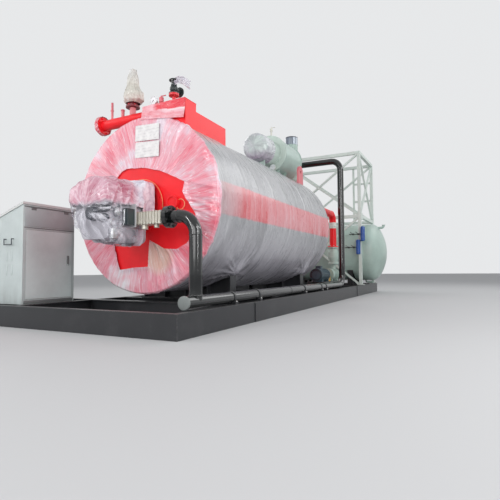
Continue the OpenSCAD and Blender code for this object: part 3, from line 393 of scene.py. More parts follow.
def film(name, folds, under=(0.4, 0.4, 0.4), veil=(0.8, 0.8, 0.8), cover=0.5, streaks=1.0, crease_glints=0.5,
         depth=1.0, wander=0.0, **plain):
    """Stretch film over a painted surface; folds scales the piece's own map, and wander bends them"""
    made, shader = surface(name, **{"Coat_Weight": 0.35, "Coat_Roughness": 0.12, **plain})
    tree = made.node_tree
    spread = add(tree, "TexCoord", {}).outputs["UV"]
    spread = add(tree, "Mapping", {"Vector": spread, "Scale": folds}).outputs[0]
    if wander:
        drift = add(tree, "TexNoise", {"Vector": spot_in(tree), "Scale": 2.6, "Detail": 3}).outputs["Color"]
        spread = add(tree, "VectorMath", {0: drift, 1: (wander, wander, 0), 2: spread},
                     operation="MULTIPLY_ADD").outputs[0]
    skin = add(tree, "Group", {"Vector": spread, "Under": (*under, 1), "Veil": (*veil, 1), "Cover": cover,
                               "Streaks": streaks, "Crease Glints": crease_glints, "Depth": depth}, node_tree=stretch_film)
    skinned(shader, skin)
    return made, shader, skin


def rolled(around, along, place):
    """A flat grid laid where place(u, v) says, with its own map kept, and its touching edges merged"""
    deselect()
    bpy.ops.mesh.primitive_grid_add(x_subdivisions=around, y_subdivisions=along, size=1)
    piece = bpy.context.object
    for vertex in piece.data.vertices:
        vertex.co = place(vertex.co.x + 0.5, vertex.co.y + 0.5)
    bpy.ops.object.mode_set(mode="EDIT")
    bpy.ops.mesh.select_all(action="SELECT")
    bpy.ops.mesh.remove_doubles(threshold=0.0002)
    bpy.ops.object.mode_set(mode="OBJECT")
    return piece


def wave(x, y, z):
    """Smooth noise at one point"""
    return noise.noise(Vector((x, y, z)))


def ridges(x, y, seed):
    """Sharp-topped folds, from 0 in the hollows to 1 on the crests"""
    return max(0.0, 1 - 2.2 * abs(wave(x, y, seed)))


def bump_at(value, centre, width):
    """1 at the centre, falling off to 0 over the width"""
    return math.exp(-((value - centre) / width) ** 2)


shell_low, shell_high = corners("shell_cladding")
AXIS_Z = (shell_low.z + shell_high.z) / 2
SHELL_R = (shell_high.x - shell_low.x) / 2
FILM_FRONT, FILM_REAR = shell_low.y + 0.004, shell_high.y + 0.02
SADDLE_YS = (-3.0, -0.29)
TIP_ANGLE = math.atan2(0.657 - AXIS_Z, 0.75)


def on_shell(u, v):
    """Round the shell from the underside up the right side and over, from the front to the rear"""
    turn = -math.pi / 2 + u * 2 * math.pi
    y = FILM_FRONT + v * (FILM_REAR - FILM_FRONT)
    wind = y + 0.05 * math.sin(turn) + 0.09 * wave(turn * 0.7, y * 0.8, 7)
    gathered = min(1.0, max(0.12, 0.35 + 1.5 * wave(turn * 1.1, y * 0.9, 31)))
    lift = 0.004 + 0.006 * gathered * ridges(wind * 5.0, math.cos(turn) * 1.5, 2.0) ** 4
    lift += 0.0022 * gathered * ridges(wind * 13, math.cos(turn) * 1.8 + turn * 0.3, 5.0) ** 3
    lift += 0.007 * wave(wind * 1.4, turn * 1.3, 13)
    loose = bump_at(turn, -0.6, 0.55) + bump_at(turn, math.pi + 0.6, 0.55)
    lift += 0.013 * loose * ridges(y * 1.35 + 0.7 * math.sin(2 * turn), turn * 0.5, 57.0) ** 3
    for ring_y in (-3.28, -3.16, -2.32, -1.02):
        lift += 0.0055 * bump_at(wind, ring_y + 0.03 * math.sin(turn * 2), 0.011)
    for side in (TIP_ANGLE, math.pi - TIP_ANGLE):
        for saddle_y in SADDLE_YS:
            hang = bump_at(turn, side, 0.13) * bump_at(y, saddle_y, 0.17)
            pleat = 0.5 + 1.0 * ridges(y * 11, turn * 3.5, 21.0)
            lift += 0.050 * hang * pleat
            out, rise = y - saddle_y, SHELL_R * (turn - side)
            far = math.hypot(out, rise)
            taut = ridges(2.4 * math.atan2(rise, out + 1e-6), far * 0.8, saddle_y + 41.0) ** 2
            lift += 0.020 * taut * bump_at(far, 0.22, 0.30)
    radius = SHELL_R + max(0.0025, lift)
    return Vector((radius * math.cos(turn), y, AXIS_Z + radius * math.sin(turn)))


dress(enamel("cladding_grey", (0.38, 0.38, 0.40), 0.4, 0.1), "shell_cladding")
shell_wrap = rolled(380, 250, on_shell)
shell_film, _, skin = film("shell_film", (2.2, 24, 1), crease_glints=0.30, wander=0.9, Coat_Weight=0.2)
tree = shell_film.node_tree
spot = add(tree, "SeparateXYZ", {0: spot_in(tree)})
wobble = noise_of(tree, spot_in(tree), 9, 3)
level = plus(tree, spot.outputs["Z"], band(tree, wobble, 0.2, 0.8, -0.008, 0.008))
BAND_LOW, BAND_HIGH = 1.31, 1.70
in_band = times(tree, band(tree, level, BAND_LOW - 0.012, BAND_LOW + 0.012),
                band(tree, level, BAND_HIGH + 0.012, BAND_HIGH - 0.012))
pale_start = band(tree, spot.outputs["Y"], -3.85, -3.25, 0.30, 0.92)
in_band = times(tree, in_band, pale_start)
lilac = band(tree, spot.outputs["Z"], 1.35, 0.55, 0.0, 0.55)
under = blended(tree, lilac, (0.262, 0.268, 0.278, 1), (0.30, 0.275, 0.33, 1))
under = blended(tree, in_band, under, (0.60, 0.045, 0.06, 1))
veil = blended(tree, lilac, (0.43, 0.435, 0.45, 1), (0.52, 0.49, 0.58, 1))
veil = blended(tree, times(tree, in_band, 0.80), veil, (0.78, 0.34, 0.38, 1))
feed(skin, Under=under, Veil=veil)
calm = band(tree, spot.outputs["Z"], 1.9, 1.1)
swept = add(tree, "VectorMath", {0: spot_in(tree), 1: (0.5, 1.5, 0.55)}, operation="MULTIPLY").outputs[0]
swags = noise_of(tree, swept, 1, 2, Distortion=1.0)
swags = times(tree, band(tree, swags, 0.42, 0.60, -0.32, 0.34), calm)
feed(skin, Cover=plus(tree, swags, 0.45), Streaks=band(tree, calm, 0, 1, 0.55, 0.28),
     Depth=band(tree, calm, 0, 1, 0.45, 0.24))
settle(shell_wrap, "shell_film", shell_film)

# Boiler front: a red tube plate under a hood of thin film, pulled over the rim and gathered to the middle,
# torn open round the burner. Two plain paper sheets lie under it at the top.

boiler_red = enamel("boiler_enamel", (0.90, 0.015, 0.023), 0.32, 0.08, 0.25, 0.35,
                    dust=(0.42, 0.09, 0.08, 1), rubbed=(0.88, 0.26, 0.22, 1), Specular_IOR_Level=0.32)
dress(boiler_red, "front_plate", "sight_port", "rear_cover", "valve_box", "steam_header", "header_stubs",
      "main_steam_valve", "burner_ring", "feed_pipe")
FACE_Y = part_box("front_plate")[0][1]
TEAR = ((-0.445, 1.842), (-0.341, 1.936), (-0.256, 1.965), (0.059, 1.941), (0.281, 1.878), (0.656, 1.715),
        (0.627, 1.586), (0.812, 1.31), (0.80, 1.10), (0.685, 0.976), (0.555, 0.909), (0.361, 0.915),
        (0.128, 1.033), (0.105, 0.70), (-0.15, 0.69), (-0.345, 0.666), (-0.40, 0.80), (-0.453, 1.017))


def inside(x, z, outline):
    """Whether the point lies in the outline"""
    within = False
    for (x0, z0), (x1, z1) in zip(outline, outline[1:] + outline[:1]):
        if (z0 > z) != (z1 > z) and x < x0 + (z - z0) / (z1 - z0) * (x1 - x0):
            within = not within
    return within


def nearest_on(x, z, outline):
    """The outline's point nearest to x, z"""
    best = None
    for (x0, z0), (x1, z1) in zip(outline, outline[1:] + outline[:1]):
        along = ((x - x0) * (x1 - x0) + (z - z0) * (z1 - z0)) / ((x1 - x0) ** 2 + (z1 - z0) ** 2)
        along = min(1, max(0, along))
        px, pz = x0 + along * (x1 - x0), z0 + along * (z1 - z0)
        gap = math.hypot(x - px, z - pz)
        if best is None or gap < best[0]:
            best = (gap, px, pz)
    return best


HOOD_BACK = 0.06
RIM_AT = 0.84
MIDDLE_R = 0.10
FLAT = 0.003


def on_front(u, v):
    """From the middle of the front out to the rim, and back along the shell"""
    turn = u * 2 * math.pi
    bent = turn + 0.16 * wave(math.cos(turn) * 2, math.sin(turn) * 2, v * 3)
    fold = ridges(math.cos(bent) * 5.0 + 3, math.sin(bent) * 5.0, 1.5 + v * 1.6)
    fine = ridges(math.cos(bent) * 13, math.sin(bent) * 13, 8 + v * 1.8)
    if v <= RIM_AT:
        radius = MIDDLE_R + (SHELL_R + 0.004 - MIDDLE_R) * v / RIM_AT
        lift = 0.004 + (0.015 * fold ** 3 + 0.007 * fine ** 3) * (0.35 + 0.65 * v / RIM_AT)
        lift += 0.012 * max(0, wave(radius * math.cos(turn) * 2.6, radius * math.sin(turn) * 2.6, 4))
        lift *= 1 - 0.7 * bump_at(radius, SHELL_R, 0.05)
        y = FACE_Y - lift
    else:
        back = (v - RIM_AT) / (1 - RIM_AT)
        ragged = 0.75 + 0.5 * wave(math.cos(turn) * 3, math.sin(turn) * 3, 11)
        radius = SHELL_R + 0.009 + 0.012 * fold ** 2 * (0.4 + back) + 0.004 * fine
        y = FACE_Y + 0.006 + back * HOOD_BACK * ragged
    return Vector((radius * math.cos(turn), y, AXIS_Z + radius * math.sin(turn)))


def cut_out(piece, chosen):
    """Delete the faces that are chosen"""
    bpy.ops.object.mode_set(mode="EDIT")
    bpy.ops.mesh.select_mode(type="FACE")
    bpy.ops.mesh.select_all(action="DESELECT")
    bpy.ops.object.mode_set(mode="OBJECT")
    for face in piece.data.polygons:
        face.select = chosen(face.center)
    bpy.ops.object.mode_set(mode="EDIT")
    bpy.ops.mesh.delete(type="FACE")
    bpy.ops.object.mode_set(mode="OBJECT")


def thickened(piece, thickness=0.0012):
    """Turn a sheet's faces outwards and give it its thickness"""
    only(piece)
    bpy.ops.object.mode_set(mode="EDIT")
    bpy.ops.mesh.select_all(action="SELECT")
    bpy.ops.mesh.normals_make_consistent(inside=False)
    bpy.ops.object.mode_set(mode="OBJECT")
    piece.modifiers.new("thickness", "SOLIDIFY").thickness = thickness
    bpy.ops.object.modifier_apply(modifier="thickness")
    return piece


hood = rolled(420, 74, on_front)
cut_out(hood, lambda spot: spot.y < FACE_Y + FLAT and inside(spot.x, spot.z, TEAR))
bpy.ops.object.mode_set(mode="EDIT")
bpy.ops.mesh.select_mode(type="VERT")
bpy.ops.mesh.select_all(action="DESELECT")
bpy.ops.mesh.select_non_manifold()
bpy.ops.object.mode_set(mode="OBJECT")
for vertex in hood.data.vertices:
    x, y, z = vertex.co
    if y < FACE_Y + FLAT:
        gap, edge_x, edge_z = nearest_on(x, z, TEAR)
        rag = 0.008 * wave(x * 9, 3, z * 9)
        curl = bump_at(gap, 0, 0.035) * (0.5 + 0.9 * max(0, wave(x * 5, 9, z * 5)))
        if vertex.select and gap < 0.06:
            vertex.co.x, vertex.co.z = edge_x + rag, edge_z + rag
        vertex.co.y -= 0.020 * curl
hood_film, _, skin = film("front_film", (58, 2.0, 1), streaks=0.60, crease_glints=1.0, depth=0.8, wander=0.8)
tree = hood_film.node_tree
spot = spot_in(tree)
patches = noise_of(tree, spot, 2.4, 3)
away = add(tree, "VectorMath", {0: spot, 1: (0.26, -3.99, 0.83)}, operation="DISTANCE").outputs["Value"]
cream = band(tree, away, 0.26, 0.14)
low_rim = times(tree, band(tree, add(tree, "VectorMath", {0: spot, 1: (-0.35, -3.99, 0.42)},
                                     operation="DISTANCE").outputs["Value"], 0.36, 0.16),
                band(tree, patches, 0.35, 0.55))
loose = times(tree, band(tree, patches, 0.54, 0.66), band(tree, skin.outputs["Mask"], 0.2, 0.8))
veil = blended(tree, loose, (0.78, 0.46, 0.54, 1), (0.74, 0.68, 0.76, 1))
veil = blended(tree, cream, veil, (0.74, 0.52, 0.45, 1))
under = blended(tree, cream, (0.76, 0.15, 0.21, 1), (0.76, 0.36, 0.28, 1))
veil = blended(tree, low_rim, veil, (0.80, 0.76, 0.80, 1))
feed(skin, Veil=veil, Under=under)
wrapped = band(tree, add(tree, "SeparateXYZ", {0: spot}).outputs["Y"], -3.975, -3.93, 0.0, 0.5)
cover = plus(tree, band(tree, patches, 0.32, 0.66, 0.30, 0.74), wrapped)
cover = plus(tree, cover, times(tree, low_rim, 0.35))
tight = band(tree, add(tree, "VectorMath", {0: spot, 1: (0.88, -3.99, 1.02)},
                       operation="DISTANCE").outputs["Value"], 0.75, 0.20, 0.0, 0.30)
cover = maths(tree, "SUBTRACT", cover, tight)
feed(skin, Cover=cover)
settle(thickened(hood, 0.0015), "front_film", hood_film)

paper, shader = surface("label_paper", Roughness=0.6, Coat_Weight=0.3, Coat_Roughness=0.2)
tree = paper.node_tree
lines = spot_in(tree, "Z")
ruled = maths(tree, "FRACT", times(tree, lines, 26))
ruled = times(tree, band(tree, ruled, 0.78, 0.86), band(tree, ruled, 0.98, 0.92))
stain = noise_of(tree, spot_in(tree), 16, 5)
ink = times(tree, ruled, band(tree, stain, 0.38, 0.60, 0.0, 0.42))
feed(shader, Base_Color=blended(tree, ink, blended(tree, band(tree, stain, 0.35, 0.75), (0.82, 0.81, 0.80, 1),
                                                   (0.66, 0.64, 0.64, 1)), (0.33, 0.33, 0.36, 1)))
for name, low, high in (("upper_sheet", 2.298, 2.50), ("lower_sheet", 2.085, 2.282)):

    def on_paper(u, v, low=low, high=high):
        """A sheet a little askew, following the film's long waves"""
        x = -0.108 + u * 0.380 + (v - 0.5) * 0.008
        z = low + v * (high - low) - u * 0.022
        lift = 0.021 + 0.003 * wave(x * 9, 2, z * 3)
        return Vector((x, FACE_Y - lift, z))

    sheet = rolled(40, 26, on_paper)
    sheet.modifiers.new("thickness", "SOLIDIFY").thickness = 0.001
    bpy.ops.object.modifier_apply(modifier="thickness")
    settle(sheet, "paper_" + name, paper)


def hoop(radius, thick, at, turned, around, sides=10):
    """A ring of round bar"""
    return shape("torus", at, turned, major_segments=around, minor_segments=sides, major_radius=radius,
                 minor_radius=thick)


# A thin orange hose runs over the burner's flange at its upper right, with a small loop by the sight port.
hose = []
for radius, x, z, start, end in ((0.336, 0.0, 1.46, -0.15, 2.6), (0.062, 0.60, 1.44, -4, 4)):
    coil = hoop(radius, 0.0042, (x, FACE_Y - 0.026, z), TO_Y, 120)
    mesh = bmesh.new()
    mesh.from_mesh(coil.data)
    spare = [vertex for vertex in mesh.verts if not start < math.atan2(vertex.co.y, vertex.co.x) < end]
    bmesh.ops.delete(mesh, geom=spare, context="VERTS")
    bmesh.ops.holes_fill(mesh, edges=[edge for edge in mesh.edges if edge.is_boundary])
    mesh.to_mesh(coil.data)
    mesh.free()
    hose.append(coil)
orange, shader = surface("hose_orange", Roughness=0.35)
tree = orange.node_tree
mottle = noise_of(tree, spot_in(tree), 60, 3)
feed(shader, Base_Color=blended(tree, mottle, (0.80, 0.30, 0.12, 1), (0.86, 0.44, 0.24, 1)))
settle(hose, "burner_hose", orange)

# Burner: grey cast housing, square flange plate, motor and servo drive, all in a bag of crumpled film. The
# bag is opaque on top, thin and clear below, and torn open where the gas valve enters.


def two_tone(material, axis, at, below, above, soft=0.002):
    """Change a paint's colour at one place along an axis"""
    tree = material.node_tree
    step = band(tree, spot_in(tree, axis), at - soft, at + soft)
    feed(coat_of(material), Paint=blended(tree, step, (*below, 1), (*above, 1)))
    return material


def softened(piece, width, segments=2):
    """Round a piece's edges with a bevel"""
    only(piece)
    bevel = piece.modifiers.new("edge", "BEVEL")
    bevel.width, bevel.segments = width, segments
    bpy.ops.object.modifier_apply(modifier="edge")
    return piece


def plate(low, high, edge, segments=2):
    """A flat plate between two corners, with softened edges"""
    low, high = Vector(low), Vector(high)
    return softened(shape("cube", (low + high) / 2, stretch=high - low, size=1), edge, segments)


dress(enamel("burner_enamel", (0.40, 0.39, 0.43), 0.38, 0.15, 0.3, 0.5), "burner_head", "burner_housing",
      "burner_air_cover")
drive_dark = enamel("drive_enamel", (0.035, 0.042, 0.055), 0.38, 0.3, 0.3, 0.4, dust=(0.22, 0.22, 0.22, 1))
dress(drive_dark, "burner_motor", "pump_motor")
silver = enamel("cast_silver", (0.56, 0.57, 0.59), 0.30, 0.25, 0.5, 0.8, dust=(0.20, 0.20, 0.21, 1),
                rubbed=(0.85, 0.85, 0.87, 1), Metallic=0.75)
servo_paint = enamel("servo_enamel", (0.03, 0.045, 0.05), 0.32, 0.2, 0.4)
dress(two_tone(servo_paint, "Y", -4.4985, (0.03, 0.045, 0.05), (0.80, 0.79, 0.81), 0.001), "burner_actuator")

BAG_CENTRE = (0.0, 1.33)
PLATE_SECTION = ((-0.262, 1.20), (0.262, 1.20), (0.264, 1.46), (0.262, 1.715), (0, 1.728), (-0.262, 1.72),
                 (-0.266, 1.46))
BODY_SECTION = ((-0.325, 1.47), (-0.29, 1.28), (-0.215, 1.12), (-0.06, 1.015), (0.07, 0.958), (0.288, 0.94),
                (0.295, 1.10), (0.295, 1.45), (0.27, 1.60), (0.18, 1.682), (0, 1.69), (-0.20, 1.668),
                (-0.295, 1.60))
MOUTH_SECTION = ((-0.31, 1.46), (-0.27, 1.28), (-0.19, 1.13), (-0.05, 1.03), (0.07, 0.985), (0.262, 0.965),
                 (0.275, 1.20), (0.275, 1.45), (0.24, 1.585), (0.15, 1.65), (0, 1.658), (-0.18, 1.63),
                 (-0.27, 1.57))


def reach_of(section, turn):
    """How far the section's outline lies from the bag's centre in a direction"""
    dx, dz = math.cos(turn), math.sin(turn)
    far = 0.0
    for (x0, z0), (x1, z1) in zip(section, section[1:] + section[:1]):
        ax, az, bx, bz = x0 - BAG_CENTRE[0], z0 - BAG_CENTRE[1], x1 - x0, z1 - z0
        cross = dx * bz - dz * bx
        if abs(cross) > 1e-9:
            reach = (ax * bz - az * bx) / cross
            share = (ax * dz - az * dx) / cross
            if reach > 0 and -1e-6 <= share <= 1 + 1e-6:
                far = max(far, reach)
    return far


def rounded_reach(section, turn):
    """The same, with the outline's corners drawn round"""
    return sum(reach_of(section, turn + step) for step in (-0.09, -0.045, 0, 0.045, 0.09)) / 5


# share of the way to the front, Y there, and the two sections with the second one's share
BAG_STATIONS = ((0.0, -4.075, PLATE_SECTION, BODY_SECTION, 0.0),
                (0.16, -4.235, PLATE_SECTION, BODY_SECTION, 0.0),
                (0.26, -4.315, PLATE_SECTION, BODY_SECTION, 1.0),
                (0.56, -4.63, BODY_SECTION, MOUTH_SECTION, 0.1),
                (0.76, -4.80, BODY_SECTION, MOUTH_SECTION, 1.0),
                (1.0, -4.885, MOUTH_SECTION, MOUTH_SECTION, 1.0))
TURNS = 220
reaches = {section: [rounded_reach(section, 2 * math.pi * i / TURNS) for i in range(TURNS + 1)]
           for section in (PLATE_SECTION, BODY_SECTION, MOUTH_SECTION)}


def on_bag(u, v):
    """Round the bag, from its open rear edge to the middle of its front"""
    turn = u * 2 * math.pi
    index = round(u * TURNS)
    for (v0, y0, _, _, _), (v1, y1, first, second, share) in zip(BAG_STATIONS, BAG_STATIONS[1:]):
        if v <= v1 + 1e-6:
            break
    along = (v - v0) / (v1 - v0)
    if v1 < 1.0:
        part = share * along if v0 == 0.16 or v0 == 0.56 else share
        reach = reaches[first][index] * (1 - part) + reaches[second][index] * part
        y = y0 + (y1 - y0) * along
        tilt = 0.0
    else:
        reach = reaches[MOUTH_SECTION][index] * max(0.0, math.cos(along * math.pi / 2)) ** 0.75
        y = y0 + (y1 - y0) * math.sin(along * math.pi / 2)
        tilt = along
    x, z = BAG_CENTRE[0] + reach * math.cos(turn), BAG_CENTRE[1] + reach * math.sin(turn)
    spot = Vector((x, y, z))
    crumple = 0.018 * ridges(x * 4.2 + z * 2.6, y * 4.8 - z * 2.2, 3.0) ** 2
    crumple += 0.006 * ridges(x * 11 - y * 6, z * 10 + y * 4, 6.0) ** 2
    crumple += 0.009 * noise.noise(spot * 6) + 0.0016 * noise.noise(spot * 22)
    crumple *= 0.35 if v < 0.2 else 1.0
    outward = Vector((math.cos(turn) * (1 - tilt), -tilt, math.sin(turn) * (1 - tilt)))
    pinch = 1.0 if v > 0.02 else 0.9
    return spot + outward.normalized() * (crumple + 0.004) * pinch


def in_tear(spot):
    """Where the gas valve enters, with a ragged edge"""
    rag = 0.014 * noise.noise(spot * 22)
    return spot.x > 0.17 and 1.125 + rag < spot.z < 1.375 + rag and -4.655 + rag < spot.y < -4.315 + rag


bag = rolled(TURNS, 150, on_bag)
cut_out(bag, in_tear)
bag_film, shader, skin = film("burner_film", (12, 5, 1), streaks=0.8, crease_glints=0.8, depth=0.55, wander=1.6)
tree = bag_film.node_tree
spot = spot_in(tree)
parts = add(tree, "SeparateXYZ", {0: spot})
mottle = noise_of(tree, spot, 7, 4)
edge = plus(tree, parts.outputs["Z"], band(tree, mottle, 0.3, 0.7, -0.03, 0.03))
low = band(tree, edge, 1.41, 1.35)
rearward = band(tree, parts.outputs["Y"], -4.50, -4.36)
pale = maths(tree, "MAXIMUM", low, rearward)
feed(skin, Under=blended(tree, pale, (0.42, 0.12, 0.18, 1), (0.46, 0.43, 0.52, 1)),
     Veil=blended(tree, pale, (0.66, 0.42, 0.50, 1), (0.86, 0.86, 0.92, 1)))
clear = times(tree, low, band(tree, parts.outputs["Y"], -4.36, -4.46))
clear = times(tree, clear, band(tree, skin.outputs["Mask"], 0.90, 0.40, 0.45, 0.97))
feed(shader, Alpha=maths(tree, "SUBTRACT", 1.0, clear))
settle(thickened(bag, 0.001), "burner_film", bag_film)

# What shows through the clear part of the bag: the air inlet's dark slot and bowl on the front, and the
# cast damper box, the round servo cover and its hoop of conduit on the right side.

slot = shape("cylinder", (0.165, -4.794, 1.322), TO_Y, (0.27, 0.085, 0.024), vertices=40, radius=0.5, depth=1)
bars = [softened(slot, 0.006, 3)]
bars += [rod(0.004, 0.07, (0.075 + k * 0.03, -4.808, 1.322), sides=10) for k in range(7)]
settle(bars, "air_inlet_slot", drive_dark)
bowl = shape("uv_sphere", (0.18, -4.795, 1.222), stretch=(0.082, 0.036, 0.046), segments=32, ring_count=16,
             radius=1)
settle(bowl, "air_inlet_bowl", drive_dark)
castings = [plate((0.242, -4.7775, 0.993), (0.290, -4.6225, 1.111), 0.012, 3)]
for radius, x, depth in ((0.047, 0.262, 0.04), (0.037, 0.285, 0.012), (0.014, 0.292, 0.012)):
    castings.append(softened(rod(radius, depth, (x, -4.684, 1.292), TO_X, 36), 0.003))
castings.append(shape("torus", (0.288, -4.705, 1.165), TO_X, (0.46, 1, 1), major_segments=56, minor_segments=10,
                      major_radius=0.092, minor_radius=0.0065))
settle(castings, "burner_castings", silver)
face = [plate((0.273, -4.616, 1.168), (0.307, -4.604, 1.325), 0.003),
        plate((0.279, -4.620, 1.200), (0.301, -4.604, 1.235), 0.003)]
face += [rod(0.008, 0.012, (0.290, -4.618, z), TO_Y, 24) for z in (1.268, 1.300)]
settle(face, "actuator_face", silver)

# Gas line: a ribbed cast valve bolted to glossy black pipe that drops to the skid, runs along its right side
# on clamped pads and rises again behind the shell. Its bends are butt-welded, its near end is capped.


def bolts(spots, facing, across, depth):
    """Hexagon heads with their washers, one at each spot, all facing one way"""
    head = softened(rod(across / math.sqrt(3), depth, (0, 0, depth * 0.5 + 0.002), sides=6), across * 0.06)
    first = joined([head, rod(across * 0.78, 0.003, (0, 0, 0.0015), sides=18)])
    only(first)
    bpy.ops.object.transform_apply()
    made = []
    turned = aimed(facing).to_4x4()
    for count, spot in enumerate(spots):
        copy = first if count == len(spots) - 1 else first.copy()
        if copy is not first:
            copy.data = first.data.copy()
            bpy.context.scene.collection.objects.link(copy)
        copy.matrix_world = Matrix.Translation(spot) @ turned @ Matrix.Rotation(count * 0.7, 4, "Z")
        made.append(copy)
    return made


def circle_of(centre, facing, radius, count, phase=0.5):
    """Points of a bolt circle"""
    turned = aimed(facing)
    turns = [2 * math.pi * (i + phase) / count for i in range(count)]
    return [Vector(centre) + turned @ Vector((radius * math.cos(turn), radius * math.sin(turn), 0))
            for turn in turns]


def ring_weld(centre, facing, radius, thick=0.005):
    """A weld bead round a pipe or a tank"""
    bead = hoop(radius, thick, (0, 0, 0), (0, 0, 0), max(72, int(radius * 500)), 8)
    for vertex in bead.data.vertices:
        turn = math.atan2(vertex.co.y, vertex.co.x)
        middle = Vector((math.cos(turn), math.sin(turn), 0)) * radius
        swell = 1 + 0.30 * math.sin(turn * radius * 450) + 0.25 * noise.noise(vertex.co * 40)
        vertex.co = middle + (vertex.co - middle) * swell
    bead.matrix_world = Matrix.Translation(centre) @ aimed(facing).to_4x4()
    return bead


gas_black = enamel("gas_enamel", (0.0045, 0.0055, 0.006), 0.11, 0.07, 0.15, 0.08, dust=(0.16, 0.16, 0.16, 1),
                   Coat_Weight=0.5, Coat_Roughness=0.05, Specular_IOR_Level=0.5)
dress(gas_black, "gas_flanges", "gas_bends", "gas_pipes")
dress(enamel("valve_casting", (0.60, 0.575, 0.50), 0.36, 0.45, 0.5, 0.9, dust=(0.25, 0.23, 0.19, 1),
             rubbed=(0.85, 0.83, 0.76, 1), Metallic=0.65), "gas_valve")
zinc = enamel("bolt_zinc", (0.50, 0.50, 0.49), 0.34, 0.3, 0.4, 0.3, dust=(0.22, 0.21, 0.20, 1), Metallic=0.9)
GAS_X, GAS_Y, GAS_Z = 1.089, -4.40, 1.235
RUN_Z, REAR_Y, CROSS_Z = 0.326, 1.43, 3.16
PIPE_R, BEND_R = 0.070, 0.210
flange_low, flange_high = corners("gas_flanges")
nuts = bolts(circle_of((flange_low.x, GAS_Y, GAS_Z), (-1, 0, 0), 0.1005, 8), (-1, 0, 0), 0.024, 0.014)
nuts += bolts(circle_of((flange_high.x, GAS_Y, GAS_Z), (1, 0, 0), 0.1005, 8), (1, 0, 0), 0.024, 0.014)
settle(nuts, "gas_flange_bolts", gas_black)
beads = [ring_weld((GAS_X - BEND_R, GAS_Y, GAS_Z), (1, 0, 0), PIPE_R),
         ring_weld((GAS_X, GAS_Y, GAS_Z - BEND_R), (0, 0, 1), PIPE_R),
         ring_weld((GAS_X, GAS_Y, RUN_Z + PIPE_R * 0.96), (0, 0, 1), PIPE_R + 0.002, 0.007),
         ring_weld((GAS_X, REAR_Y - BEND_R, RUN_Z), (0, 1, 0), PIPE_R),
         ring_weld((GAS_X, REAR_Y, RUN_Z + BEND_R), (0, 0, 1), PIPE_R),
         ring_weld((GAS_X, REAR_Y, CROSS_Z - BEND_R), (0, 0, 1), PIPE_R),
         ring_weld((GAS_X - BEND_R, REAR_Y, CROSS_Z), (1, 0, 0), PIPE_R),
         ring_weld((GAS_X, -1.85, RUN_Z), (0, 1, 0), PIPE_R),
         ring_weld((GAS_X, REAR_Y, 1.72), (0, 0, 1), PIPE_R)]
settle(beads, "gas_welds", gas_black)
run_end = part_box("gas_pipes")[0][1]
cap = softened(rod(PIPE_R + 0.002, 0.026, (GAS_X, run_end + 0.006, RUN_Z), TO_Y, 56), 0.006, 3)
cap_plastic = enamel("pipe_cap", (0.21, 0.23, 0.225), 0.5, 0.5, 0.1, 0.5)
settle(cap, "gas_end_cap", cap_plastic)
strap_nuts = []
for y in (-3.675, -3.0, -1.225, -0.29, 0.0):
    spots = [(GAS_X + side * 0.084, y, SKID_TOP + 0.0305) for side in (-1, 1)]
    strap_nuts += bolts(spots, (0, 0, 1), 0.016, 0.010)
settle(strap_nuts, "clamp_bolts", zinc)
valve_bolts = bolts([(0.677, GAS_Y + a * 0.062, GAS_Z + b * 0.064) for a in (-1, 1) for b in (-1, 1)],
                    (1, 0, 0), 0.016, 0.010)
settle(valve_bolts, "gas_valve_bolts", zinc)

# Top fittings: the red valve box and the header with their valves. Film covers the box's front, the header's
# end and the safety valve, and a torn scrap hangs off the steam valve. Flanges are bolted, the box is welded.


def sleeve(around, along, centre, facing, stations, crumple):
    """Film wrapped round an axis: stations give its share, its place along the axis and its radius"""
    turned = aimed(facing)

    def place(u, v):
        for (v0, h0, r0), (v1, h1, r1) in zip(stations, stations[1:]):
            if v <= v1 + 1e-6:
                break
        share = (v - v0) / (v1 - v0)
        height, radius = h0 + (h1 - h0) * share, r0 + (r1 - r0) * share
        turn = u * 2 * math.pi
        radius += crumple(turn, v) * min(1, radius / 0.03)
        return Vector(centre) + turned @ Vector((radius * math.cos(turn), radius * math.sin(turn), height))

    return rolled(around, along, place)


HEADER_Y, HEADER_Z = -3.83, 2.668
BOX_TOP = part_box("valve_box")[1][2]
BOX_LEFT, BOX_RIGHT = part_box("valve_box")[0][0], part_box("valve_box")[1][0]
HEADER_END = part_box("steam_header")[0][0]
dress(enamel("wrapped_red", (0.70, 0.17, 0.20), 0.34, 0.3, 0.3, 0.6, dust=(0.62, 0.42, 0.42, 1)),
      "header_stubs", "air_valve", "lifting_lugs")
dress(enamel("valve_pale", (0.68, 0.67, 0.60), 0.4, 0.2, 0.2, 0.4), "economizer_fittings")
dress(enamel("gauge_case", (0.66, 0.67, 0.68), 0.28, 0.1, 0.3, Metallic=0.5), "pressure_gauge")
safety_paint = enamel("safety_valve_paint", (0.6, 0.58, 0.5), 0.38, 0.3, 0.3, 0.5)
dress(two_tone(safety_paint, "Z", 2.826, (0.66, 0.20, 0.22), (0.17, 0.008, 0.018)), "safety_valve")
# The pale dust on the valve's black bonnet is partly dust and partly painted highlight: small pale spots where
# light catches it.
steam_paint = enamel("steam_valve_paint", (0.02, 0.03, 0.03), 0.28, 0.35, 0.5, 0.5, dust=(0.34, 0.36, 0.35, 1))
dress(two_tone(steam_paint, "Z", 2.884, (0.70, 0.03, 0.04), (0.018, 0.026, 0.026)), "main_steam_valve")
dress(enamel("wheel_enamel", (0.012, 0.018, 0.017), 0.2, 0.2, 0.3), "steam_handwheel")

